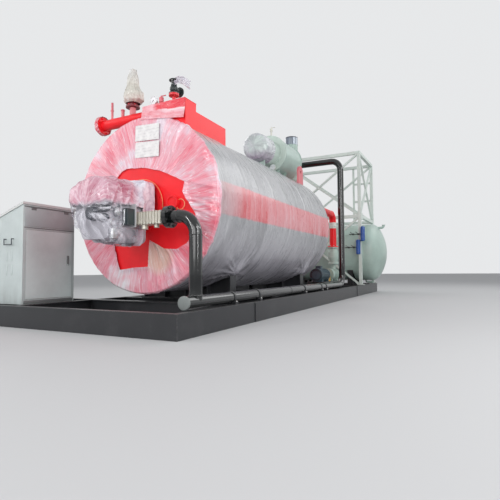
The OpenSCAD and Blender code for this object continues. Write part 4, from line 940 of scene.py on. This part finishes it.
heads = bolts(circle_of((HEADER_END, HEADER_Y, HEADER_Z), (-1, 0, 0), 0.0992, 8), (-1, 0, 0), 0.021, 0.013)
heads += bolts(circle_of((HEADER_END + 0.048, HEADER_Y, HEADER_Z), (1, 0, 0), 0.0992, 8), (1, 0, 0), 0.021,
               0.013)
steam_heads = []
for z, way in ((2.855, -1), (2.897, 1)):
    steam_heads += bolts(circle_of((0.369, HEADER_Y, z), (0, 0, way), 0.0474, 4), (0, 0, way), 0.017, 0.010)
steam_heads += bolts(circle_of((0.369, HEADER_Y + 0.105, 2.947), (0, -1, 0), 0.0474, 4), (0, -1, 0), 0.017,
                     0.010)
settle(steam_heads, "steam_valve_bolts", steam_paint)
heads += bolts(circle_of((-0.31, HEADER_Y, 2.850), (0, 0, 1), 0.078, 6), (0, 0, 1), 0.016, 0.010)
settle(heads, "header_bolts", boiler_red)
seams = []
for x in (BOX_LEFT, BOX_RIGHT):
    foot = AXIS_Z + math.sqrt(SHELL_R ** 2 - x * x)
    seams.append(weld_bead((x, -3.949, foot), (x, -3.949, BOX_TOP), 0.004))
    seams.append(weld_bead((x, -3.95, BOX_TOP), (x, -3.72, BOX_TOP), 0.004))
    seams.append(weld_bead((x, -3.72, foot), (x, -2.99, foot), 0.006))
seams.append(weld_bead((BOX_LEFT, -3.95, BOX_TOP), (BOX_RIGHT, -3.95, BOX_TOP), 0.004))
seams.append(ring_weld((BOX_LEFT - 0.002, HEADER_Y, HEADER_Z), (1, 0, 0), 0.070))
settle(seams, "valve_box_welds", boiler_red)

# The gauge's white dial with its graduations and needle.
dial_white, _ = surface("dial_white", Base_Color=(0.90, 0.92, 0.94, 1), Roughness=0.25, Coat_Weight=0.8,
                        Coat_Roughness=0.05)
dial_ink, _ = surface("dial_ink", Base_Color=(0.05, 0.06, 0.09, 1), Roughness=0.4)


def dial(name, faces, middle, reach, mark, needle, hub=()):
    """White faces with eleven dark marks and a needle, which is given by its ends, length, place and lean"""
    marks = list(hub)
    for step in range(11):
        turn = math.radians(225 - step * 27)
        spot = Vector(middle) + reach * Vector((math.cos(turn), 0, math.sin(turn)))
        marks.append(shape("cube", spot, (0, -turn, 0), mark, size=1))
    thick, thin, length, place, lean = needle
    marks.append(shape("cone", place, (0, math.radians(lean), 0), vertices=4, radius1=thick, radius2=thin,
                       depth=length))
    for paint, parts in ((dial_white, faces), (dial_ink, marks)):
        for part in parts:
            part.data.materials.append(paint)
    settle(faces + marks, name, None)


dial("gauge_dial", [rod(0.0475, 0.0016, (0.056, -3.8517, 2.854), TO_Y, 56)], (0.056, -3.8530, 2.854), 0.040,
     (0.007, 0.0008, 0.0014), (0.004, 0.0006, 0.040, (0.042, -3.8545, 2.840), -135),
     [rod(0.0055, 0.004, (0.056, -3.8535, 2.854), TO_Y, 24)])


def on_box(u, v):
    """Along the box's left side and round its front, from the hood's top up to the box's top"""
    turn_at = 0.26
    if u < turn_at:
        x, y = BOX_LEFT - 0.006, -3.74 + (-3.958 + 3.74) * u / turn_at
    else:
        x, y = BOX_LEFT - 0.006 + (BOX_RIGHT - BOX_LEFT + 0.010) * (u - turn_at) / (1 - turn_at), -3.958
    low = 2.566 - 0.10 * max(0, x) - 0.03 * max(0, x) ** 2
    low += 0.05 * (1 - min(1, u / turn_at))
    z = low + (BOX_TOP + 0.004 - low) * v
    swell = 0.006 * ridges(x * 3.5 + z * 6, z * 4 - x * 2, 41.0) ** 2 + 0.004 * wave(x * 7, z * 16, y * 7)
    swell += 0.034 * (1 - v) ** 2.2 if u >= turn_at else 0.0
    if u < turn_at:
        return Vector((x - swell, y, z))
    return Vector((x, y - max(0.001, swell), z))


box_wrap = thickened(rolled(110, 34, on_box))
box_film, _, skin = film("box_film", (2.2, 3.0, 1), (0.78, 0.05, 0.075), streaks=0.45, crease_glints=0.35, depth=0.3,
                         wander=0.6)
tree = box_film.node_tree
spot = spot_in(tree)
parts = add(tree, "SeparateXYZ", {0: spot})
slant = plus(tree, parts.outputs["Z"], times(tree, parts.outputs["X"], 0.085))
slant = plus(tree, slant, band(tree, noise_of(tree, spot, 6, 3), 0.3, 0.7, -0.012, 0.012))
bare = times(tree, band(tree, slant, 2.672, 2.690), band(tree, parts.outputs["X"], 0.14, 0.21))
gleam = times(tree, band(tree, slant, 2.640, 2.672), band(tree, slant, 2.690, 2.672))
gleam = times(tree, gleam, band(tree, parts.outputs["X"], 0.22, 0.42))
cover = maths(tree, "SUBTRACT", 0.80, times(tree, bare, 0.88))
feed(skin, Cover=plus(tree, cover, times(tree, gleam, 0.3)),
     Veil=blended(tree, times(tree, gleam, 0.8), (0.84, 0.46, 0.52, 1), (0.90, 0.80, 0.80, 1)))
settle(box_wrap, "box_film", box_film)

end_wrap = sleeve(90, 26, (HEADER_END, HEADER_Y, HEADER_Z), (-1, 0, 0),
                  ((0, -0.056, 0.124), (0.32, -0.006, 0.128), (0.42, 0.010, 0.121), (1, 0.020, 0.0)),
                  lambda turn, v: 0.007 * ridges(math.cos(turn) * 4, math.sin(turn) * 4, 51.0 + v) ** 2)
end_film, _, _ = film("end_film", (18, 2, 1), (0.70, 0.03, 0.06), (0.86, 0.58, 0.62), 0.30, crease_glints=0.6,
                      depth=0.6)
settle(thickened(end_wrap), "flange_film", end_film)

WRAP_STATIONS = ((0, 2.884, 0.088), (0.07, 2.905, 0.106), (0.12, 2.920, 0.113), (0.34, 3.020, 0.112),
                 (0.45, 3.075, 0.090), (0.55, 3.130, 0.073), (0.68, 3.200, 0.071), (0.76, 3.235, 0.066),
                 (0.85, 3.290, 0.048), (0.93, 3.345, 0.042), (1, 3.362, 0.0))


def valve_folds(turn, v):
    """Deep folds, swollen over the outlet at the right and at one knot on the left"""
    fold = 0.010 * ridges(math.cos(turn) * 2.6 + v * 2.2, math.sin(turn) * 2.6 - v * 1.4, 31.0) ** 2
    fold += 0.004 * ridges(math.cos(turn) * 6 - v * 5, math.sin(turn) * 6 + v * 6, 36.0) ** 2 - 0.002
    left = math.atan2(math.sin(turn), math.cos(turn))
    fold += 0.036 * min(1, 1.7 * bump_at(abs(left), math.pi, 0.62)) * min(1, 1.7 * bump_at(v, 0.22, 0.16))
    return fold + 0.020 * bump_at(left, 0, 0.5) * bump_at(v, 0.80, 0.05)


safety_wrap = sleeve(120, 90, (-0.31, HEADER_Y, 0), (0, 0, 1), WRAP_STATIONS, valve_folds)
safety_film, _, skin = film("safety_film", (5, 3, 1), cover=0.55, streaks=0.7, depth=0.5, wander=1.0)
tree = safety_film.node_tree
height = spot_in(tree, "Z")
feed(skin, Under=blended(tree, band(tree, height, 3.0, 2.9, 0.0, 0.6), (0.46, 0.43, 0.38, 1),
                         (0.50, 0.22, 0.22, 1)),
     Veil=blended(tree, band(tree, height, 3.1, 3.34), (0.66, 0.64, 0.57, 1), (0.80, 0.80, 0.80, 1)))
settle(thickened(safety_wrap), "safety_film", safety_film)


def on_scrap(u, v):
    """A crumpled strip that hangs to the right of the steam valve's bonnet"""
    x = 0.395 + 0.205 * u
    z = 3.015 + 0.035 * math.sin(u * 4.2) - 0.02 * u + (v - 0.5) * (0.075 + 0.05 * u)
    z += 0.014 * wave(x * 30, v * 3, 61)
    y = HEADER_Y - 0.045 + 0.05 * u + 0.026 * ridges(x * 16, v * 2.4, 66.0) + 0.016 * wave(x * 22, z * 30, 68)
    return Vector((x, y, z))


scrap = rolled(60, 30, on_scrap)
scrap_film, _, _ = film("scrap_film", (5, 5, 1), (0.46, 0.40, 0.50), (0.80, 0.76, 0.84), 0.6, crease_glints=0.6,
                        depth=0.8, Alpha=0.45)
settle(thickened(scrap, 0.0008), "valve_scrap", scrap_film)

# Economizer and flue: a rolled drum of pale green plate with welded seams, its front cover in a bag of film,
# and the flue pipe with a bare zinc collar. The boiler's red lifting lugs stand beside it.

MINT = (0.43, 0.555, 0.50)
mint = enamel("mint_paint", MINT, 0.33, 0.22, 0.25, 0.35, dust=(0.55, 0.60, 0.56, 1),
              rubbed=(0.60, 0.68, 0.63, 1))
dress(mint, "economizer_feet", "flue_elbow", "stack_pipe", "feed_pump", "suction_pipe", "tank_shell",
      "tank_ends", "tank_nozzles")
# Painted light: ahead of Y -0.126 the drum's front face is painted paler than its barrel, as if lit from the
# front.
drum_paint_lit_front = enamel("drum_paint_lit_front", MINT, 0.30, 0.18, 0.2, 0.35, dust=(0.55, 0.60, 0.56, 1),
                    rubbed=(0.60, 0.68, 0.63, 1))
dress(two_tone(drum_paint_lit_front, "Y", -0.126, (0.60, 0.70, 0.64), MINT), "economizer_drum")
dress(enamel("cover_paint", (0.56, 0.66, 0.60), 0.32, 0.18, 0.2, 0.4, dust=(0.55, 0.60, 0.56, 1)),
      "economizer_cover")
DRUM_LOW, DRUM_HIGH = corners("economizer_drum")
DRUM_Z = (DRUM_LOW.z + DRUM_HIGH.z) / 2
DRUM_R = 0.377
FLUE_Y = 1.18
COLLAR_LOW, COLLAR_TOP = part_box("stack_collar")[0][2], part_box("stack_collar")[1][2]

zinc_sheet, shader = surface("collar_zinc", Metallic=0.7)
tree = zinc_sheet.node_tree
spot = spot_in(tree)
# The vertical streaks of dark and pale zinc are partly the sheet's own streaking and partly painted reflection
# of the shiny collar.
upright = add(tree, "VectorMath", {0: spot, 1: (26, 26, 1.2)}, operation="MULTIPLY").outputs[0]
streaks = noise_of(tree, upright, 1, 4, Roughness=0.6)
clouds = noise_of(tree, spot, 9, 4)
tone = blended(tree, band(tree, streaks, 0.35, 0.65), (0.07, 0.085, 0.12, 1), (0.40, 0.44, 0.48, 1))
height = add(tree, "SeparateXYZ", {0: spot}).outputs["Z"]
# The dark band along the collar's top edge is painted shade; the dark cloudy patches are soot.
soot_and_rim_shade = maths(tree, "MAXIMUM", band(tree, height, COLLAR_TOP - 0.030, COLLAR_TOP - 0.012),
              band(tree, clouds, 0.60, 0.75, 0, 0.4))
feed(shader, Base_Color=blended(tree, soot_and_rim_shade, tone, (0.045, 0.05, 0.07, 1)),
     Roughness=band(tree, streaks, 0.3, 0.7, 0.42, 0.24),
     Normal=add(tree, "Bump", {"Height": streaks, "Distance": 0.004, "Strength": 0.4}).outputs[0])
dress(zinc_sheet, "stack_collar")

beads = [ring_weld((0, y, DRUM_Z), (0, 1, 0), DRUM_R, 0.004) for y in (-0.109, 0.779)]
beads += [ring_weld((0, 0.952, DRUM_Z), (0, 1, 0), 0.146, 0.004),
          ring_weld((0, FLUE_Y, DRUM_Z + 0.23), (0, 0, 1), 0.146, 0.004),
          ring_weld((0, FLUE_Y, COLLAR_LOW), (0, 0, 1), 0.146, 0.004),
          ring_weld((0, 0.825, DRUM_Z), (0, 1, 0), 0.149, 0.005)]
beads.append(weld_bead((0.12, -0.10, DRUM_Z + 0.3575), (0.12, 0.78, DRUM_Z + 0.3575), 0.004))
for x, side in ((-0.555, -1), (0.555, 1)):
    for edge in (-0.021, 0.021):
        foot = AXIS_Z + math.sqrt(SHELL_R ** 2 - (x + edge) ** 2)
        beads.append(weld_bead((x + edge, 0.085, foot + 0.004), (x + edge, 0.345, foot + 0.004), 0.007))
settle(beads, "economizer_welds", mint)
rim_bolts = bolts(circle_of((0, 0.82, DRUM_Z), (0, 1, 0), 0.195, 12), (0, 1, 0), 0.019, 0.012)
settle(rim_bolts, "flue_bolts", zinc)

# The white dial below the drum: its face and rim stand in front of the fitting.
dial_x, dial_y, dial_z = 0.110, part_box("economizer_fittings")[0][1], DRUM_Z - DRUM_R * 0.8
dial("economizer_dial", [hoop(0.057, 0.0045, (dial_x, dial_y, dial_z), TO_Y, 48),
                         rod(0.054, 0.002, (dial_x, dial_y - 0.001, dial_z), TO_Y, 48)],
     (dial_x, dial_y - 0.0024, dial_z), 0.046, (0.008, 0.0008, 0.0018),
     (0.003, 0.0005, 0.036, (dial_x - 0.010, dial_y - 0.0035, dial_z + 0.013), -40))

COVER_BAG = ((0, 0.400, 0.268), (0.05, 0.412, 0.262), (0.12, 0.44, 0.258), (0.28, 0.52, 0.262),
             (0.45, 0.60, 0.264), (0.65, 0.70, 0.260), (0.80, 0.78, 0.248), (0.90, 0.818, 0.205),
             (0.96, 0.838, 0.120), (1, 0.846, 0.0))


def cover_folds(turn, v):
    """Lengthwise pleats that gather where the bag is tied, and a rumpled front"""
    pleat = 0.010 * ridges(math.cos(turn) * 6 + v, math.sin(turn) * 6, 71.0) ** 2 * (0.3 + bump_at(v, 0.1, 0.2))
    dent = 0.012 * ridges(math.cos(turn) * 1.7 + v * 2.2, math.sin(turn) * 1.7 - v * 1.6, 76.0) ** 2
    return pleat + dent * min(1, v * 1.5) + 0.008 * wave(math.cos(turn) * 2.6, math.sin(turn) * 2.6, v * 5 + 78)


cover_bag = sleeve(150, 100, (0, 0, DRUM_Z), (0, -1, 0), COVER_BAG, cover_folds)
cover_film, _, skin = film("cover_film", (6, 3, 1), streaks=0.6, crease_glints=0.45, depth=0.45, wander=1.2)
tree = cover_film.node_tree
spot = spot_in(tree)
parts = add(tree, "SeparateXYZ", {0: spot})
# Painted shade: below the bag's middle its film is coloured darker and purple, for the shade on its underside.
below = band(tree, parts.outputs["Z"], 3.0, 2.84)
feed(skin, Under=blended(tree, below, (0.40, 0.43, 0.44, 1), (0.30, 0.24, 0.32, 1)))
patches = noise_of(tree, spot, 4.5, 2)
greenish = times(tree, band(tree, patches, 0.5, 0.62), band(tree, parts.outputs["Y"], -0.45, -0.65))
veil = blended(tree, greenish, (0.64, 0.65, 0.69, 1), (0.66, 0.76, 0.72, 1))
feed(skin, Veil=blended(tree, below, veil, (0.56, 0.50, 0.58, 1)))
settle(thickened(cover_bag), "cover_film", cover_film)

# Below the flue's bend its pipe runs on down to a dished cap with a drain, for soot and water.
leg = [rod(0.146, 0.62, (0, FLUE_Y, 3.06), sides=72)]
for low_r, high_r, depth, z in ((0.118, 0.146, 0.030, 2.735), (0.060, 0.118, 0.018, 2.711),
                                (0.020, 0.020, 0.060, 2.680), (0.030, 0.030, 0.014, 2.652)):
    leg.append(shape("cone", (0, FLUE_Y, z), vertices=72, radius1=low_r, radius2=high_r, depth=depth))
leg.append(ring_weld((0, FLUE_Y, 2.75), (0, 0, 1), 0.146, 0.004))
settle(softened(joined(leg), 0.002), "flue_leg", mint)

# Pump set: a finned motor with its fan cowl, a yellow guard, a stage pump and its check valve, and the red
# feed pipe with a band of pale wrap where it bends to the boiler. Its flanges are bolted.

dress(enamel("guard_enamel", (0.72, 0.40, 0.03), 0.34, 0.25, 0.4, 0.3), "pump_coupling")
motor_blue = enamel("motor_enamel", (0.050, 0.092, 0.120), 0.34, 0.40, 0.35, 0.5, dust=(0.20, 0.25, 0.28, 1))
dress(motor_blue, "pump_motor")
PUMP_X, PUMP_Z = 0.600, 0.535
DISCHARGE_Y = 2.455
MOTOR_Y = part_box("pump_motor")[0][1]
rings = [hoop(radius, 0.0022, (PUMP_X, MOTOR_Y, PUMP_Z), TO_Y, 56, 8)
         for radius in (0.030, 0.055, 0.080, 0.105, 0.130)]
for k in range(8):
    turn = k * math.pi / 4
    spot = (PUMP_X + 0.078 * math.cos(turn), MOTOR_Y, PUMP_Z + 0.078 * math.sin(turn))
    rings.append(rod(0.0022, 0.110, spot, (0, math.pi / 2 - turn, 0), 8))
settle(rings, "fan_guard", motor_blue)
fan_dark = enamel("fan_dark", (0.012, 0.014, 0.018), 0.6, 0.35, 0.0)
fan_disc = softened(rod(0.135, 0.002, (PUMP_X, MOTOR_Y + 0.0025, PUMP_Z), TO_Y, 56), 0.0008)
settle(fan_disc, "fan_disc", fan_dark)
joints = []
for z in (PUMP_Z + 0.260 + 0.024, PUMP_Z + 0.260 + 0.048 + 0.360 + 0.024):
    spots = circle_of((PUMP_X, DISCHARGE_Y, z - 0.024), (0, 0, 1), 0.115, 8)
    joints += bolts(spots, (0, 0, -1), 0.022, 0.012)
    joints += bolts([spot + Vector((0, 0, 0.048)) for spot in spots], (0, 0, 1), 0.022, 0.012)
joints += bolts(circle_of((PUMP_X, 0.404, 2.050), (0, 1, 0), 0.108, 8), (0, 1, 0), 0.022, 0.012)
settle(joints, "feed_bolts", zinc)
seams = [ring_weld((PUMP_X, DISCHARGE_Y - 0.170, 2.050), (0, 1, 0), 0.085),
         ring_weld((PUMP_X, DISCHARGE_Y, 1.880), (0, 0, 1), 0.085)]
settle(seams, "feed_welds", boiler_red)
tape = sleeve(72, 24, (PUMP_X, DISCHARGE_Y, 0), (0, 0, 1),
              ((0, 1.700, 0.0875), (0.2, 1.715, 0.0915), (0.8, 1.835, 0.0920), (1, 1.850, 0.0880)),
              lambda turn, v: 0.004 * ridges(math.cos(turn) * 2 + v * 4, math.sin(turn) * 2 + v * 5, 81.0) ** 2)
tape_film, _, _ = film("tape_film", (3, 5, 1), (0.45, 0.55, 0.48), (0.80, 0.82, 0.76), 0.6, depth=0.6)
settle(thickened(tape), "feed_pipe_wrap", tape_film)

# Water tank in its frame: a green tank with dished ends and a bolted manhole, between posts and crossed bars
# of square tube, painted white. Two blue level columns are clamped to the front right post.

frame_white = enamel("frame_enamel", (0.66, 0.74, 0.69), 0.34, 0.15, 0.25, 0.2, dust=(0.50, 0.54, 0.50, 1))
dress(frame_white, "frame_posts", "frame_rails", "frame_side_braces", "frame_end_braces", "frame_gussets")
level_blue = enamel("level_enamel", (0.012, 0.085, 0.36), 0.25, 0.12, 0.2, 0.2)
dress(level_blue, "level_columns")
TANK_LOW, TANK_HIGH = corners("tank_shell")
TANK_Y, TANK_Z = (TANK_LOW.y + TANK_HIGH.y) / 2, (TANK_LOW.z + TANK_HIGH.z) / 2
TANK_R = (TANK_HIGH.z - TANK_LOW.z) / 2
beads = [ring_weld((x, TANK_Y, TANK_Z), (1, 0, 0), TANK_R, 0.004) for x in (TANK_LOW.x, 0.0, TANK_HIGH.x)]
seam_turn = math.radians(35)
seam_y, seam_z = TANK_Y - TANK_R * math.cos(seam_turn), TANK_Z + TANK_R * math.sin(seam_turn)
beads.append(weld_bead((TANK_LOW.x, seam_y, seam_z), (TANK_HIGH.x, seam_y, seam_z), 0.004))
beads.append(ring_weld((0, TANK_Y, TANK_Z + TANK_R + 0.048), (0, 0, 1), 0.231, 0.005))
settle(beads, "tank_welds", mint)
lid_top = TANK_Z + TANK_R + 0.050 + 0.048
manhole = bolts(circle_of((0, TANK_Y, lid_top), (0, 0, 1), 0.255, 16), (0, 0, 1), 0.026, 0.016)
manhole += bolts(circle_of((0, TANK_Y, lid_top - 0.048), (0, 0, -1), 0.255, 16), (0, 0, -1), 0.026, 0.016)
settle(manhole, "manhole_bolts", zinc)

FRAME_LOW, FRAME_HIGH = corners("frame_posts")
POST_X, POST_HALF = 1.125, 0.040
beads, anchors, caps = [], [], []
for x in (-POST_X, POST_X):
    for y in (FRAME_LOW.y + POST_HALF, FRAME_HIGH.y - POST_HALF):
        for side in (-1, 1):
            beads.append(weld_bead((x + side * POST_HALF, y - POST_HALF, SKID_TOP + 0.014),
                                   (x + side * POST_HALF, y + POST_HALF, SKID_TOP + 0.014), 0.005))
            anchors.append((x + side * 0.072, y, SKID_TOP + 0.012))
        cap_low, cap_high = FRAME_HIGH.z - 0.0005, FRAME_HIGH.z + 0.0035
        caps.append(plate((x - 0.037, y - 0.037, cap_low), (x + 0.037, y + 0.037, cap_high), 0.0015))
        for z in (2.03, 2.11, FRAME_HIGH.z - 0.080):
            inner = 1 if x < 0 else -1
            beads.append(weld_bead((x + inner * POST_HALF, y - POST_HALF, z),
                                   (x + inner * POST_HALF, y + POST_HALF, z), 0.005))
settle(beads, "frame_welds", frame_white)
settle(bolts(anchors, (0, 0, 1), 0.024, 0.014), "frame_foot_bolts", zinc)
settle(caps, "frame_post_caps", frame_white)

# The level columns end in tapered plugs, and two bolts hold the bar behind them.
ends = []
for x, low, high in ((1.215, 1.420, 1.770), (1.090, 1.070, 1.420)):
    for z, facing in ((low, -1), (high, 1)):
        ends.append(shape("cone", (x, 3.102, z + facing * 0.009), (0 if facing > 0 else math.pi, 0, 0),
                          vertices=40, radius1=0.052, radius2=0.034, depth=0.020))
settle(ends, "level_column_ends", level_blue)
clamp = bolts([(x, 3.152, 1.420) for x in (1.02, 1.15)], (0, -1, 0), 0.018, 0.010)
settle(clamp, "level_bar_bolts", zinc)

# Each column is joined to the tank by a thin pipe with two black cocks and their levers.
cock_black = enamel("cock_enamel", (0.016, 0.020, 0.020), 0.35, 0.3, 0.6, 0.4, rubbed=(0.34, 0.35, 0.34, 1))
COCK_RUN = 0.30
cocks = []
for x, z in ((1.215, 1.585), (1.090, 1.240)):
    rods = [(0.010, COCK_RUN, (x - 0.05 - COCK_RUN / 2, 3.102, z), TO_X),
            (0.010, 0.155, (x - 0.05 - COCK_RUN, 3.1795, z), TO_Y)]
    for far in (0.110, 0.250):
        rods += [(0.024, 0.050, (x - far, 3.102, z), TO_X), (0.009, 0.050, (x - far, 3.078, z), TO_Y),
                 (0.007, 0.100, (x - far - 0.030, 3.052, z + 0.028), (0, math.radians(-50), 0))]
    cocks += [softened(rod(*each), each[0] * 0.2) for each in rods]
settle(cocks, "level_cocks", cock_black)

# Control desk: bent sheet steel with a light grey powder coat and a sloping lid. Its side has a darker upper
# panel with hinges, partly its own grey and partly painted shadow under the lid, its service door a small lock,
# and dirt has run down its corners.

desk_grey = enamel("desk_coat", (0.57, 0.635, 0.63), 0.42, 0.2, 0.3, 0.5, dust=(0.40, 0.42, 0.41, 1))
dress(desk_grey, "desk_body")
dress(enamel("door_coat", (0.62, 0.69, 0.68), 0.42, 0.2, 0.3, 0.5, dust=(0.48, 0.51, 0.50, 1)), "desk_door")
dress(enamel("lid_coat", (0.56, 0.57, 0.56), 0.36, 0.25, 0.3, 0.6, dust=(0.42, 0.42, 0.40, 1)), "desk_lid")
DESK_LOW, DESK_HIGH = corners("desk_body")
tree = desk_grey.node_tree
spot = spot_in(tree)
parts = add(tree, "SeparateXYZ", {0: spot})
run = add(tree, "VectorMath", {0: spot, 1: (14, 14, 1.6)}, operation="MULTIPLY").outputs[0]
drips = noise_of(tree, run, 1, 5, Roughness=0.65)
low_dirt = times(tree, band(tree, parts.outputs["Z"], 0.50, 0.25, 0.0, 0.35), band(tree, drips, 0.42, 0.62))
streaks = times(tree, band(tree, drips, 0.58, 0.76), 0.16)
dirt = maths(tree, "MAXIMUM", low_dirt, streaks)
feed(coat_of(desk_grey), Paint=blended(tree, dirt, (0.50, 0.555, 0.55, 1), (0.24, 0.235, 0.22, 1)))

panel_dark = enamel("panel_coat", (0.16, 0.17, 0.17), 0.4, 0.3, 0.3, 0.6)
DESK_X, DOOR_Y = DESK_HIGH.x, (DESK_LOW.y + 0.043, DESK_HIGH.y - 0.043)
# The upper panel is coated darker than the body: partly its own grey and partly painted shadow under the lid.
upper = plate((DESK_X - 0.004, DESK_LOW.y + 0.02, 1.215), (DESK_X + 0.005, DESK_HIGH.y - 0.02, 1.455), 0.002)
panel_and_lid_shadow_grey = enamel("panel_and_lid_shadow_coat", (0.36, 0.385, 0.39), 0.42, 0.2, 0.3, 0.5, dust=(0.30, 0.31, 0.31, 1))
settle(upper, "desk_upper_panel", panel_and_lid_shadow_grey)
trim = [plate((DESK_X - 0.002, DESK_LOW.y + 0.012, 1.458), (DESK_X + 0.010, DESK_HIGH.y - 0.012, 1.472), 0.002),
        plate((DESK_X - 0.002, DESK_LOW.y + 0.012, 1.196), (DESK_X + 0.008, DESK_HIGH.y - 0.012, 1.206), 0.002),
        plate((DESK_X - 0.002, DESK_LOW.y + 0.02, SKID_TOP + 0.004),
              (DESK_X + 0.004, DESK_HIGH.y - 0.02, SKID_TOP + 0.045), 0.002)]
settle(trim, "desk_trim", panel_dark)
hardware = []
for y in (DESK_LOW.y + 0.14, DESK_HIGH.y - 0.14):
    hardware += [rod(0.009, 0.080, (DESK_X + 0.012, y, 1.462), TO_Y),
                 plate((DESK_X, y - 0.035, 1.425), (DESK_X + 0.008, y + 0.035, 1.462), 0.002)]
lock_y, lock_z = DOOR_Y[1] - 0.06, 0.80
hardware.append(plate((DESK_X, lock_y - 0.017, lock_z - 0.065),
                      (DESK_X + 0.008, lock_y + 0.017, lock_z + 0.065), 0.004, 3))
hardware.append(plate((DESK_X + 0.006, lock_y - 0.009, lock_z - 0.05),
                      (DESK_X + 0.020, lock_y + 0.009, lock_z + 0.035), 0.005, 3))
settle(hardware, "desk_hardware", panel_dark)

# A bail handle and four upright slots on the end that faces the front.
END_Y = DESK_LOW.y
handle = [rod(0.006, 0.158, (-1.486, END_Y - 0.030, 0.992), TO_X, 16)]
for x in (-1.560, -1.412):
    handle += [rod(0.006, 0.034, (x, END_Y - 0.015, 1.062), TO_Y, 16),
               rod(0.006, 0.076, (x, END_Y - 0.030, 1.028), sides=16)]
settle(handle, "desk_handle", drive_dark)
louvres = []
for x in (-1.545, -1.445):
    for low, high in ((0.61, 0.745), (0.785, 0.93)):
        slat = plate((x, END_Y - 0.009, low), (x + 0.022, END_Y + 0.002, high), 0.003)
        for vertex in slat.data.vertices:
            if vertex.co.y < -0.002 and vertex.co.x > 0.002:
                vertex.co.y += 0.007
        louvres.append(slat)
settle(louvres, "desk_louvres", desk_grey)
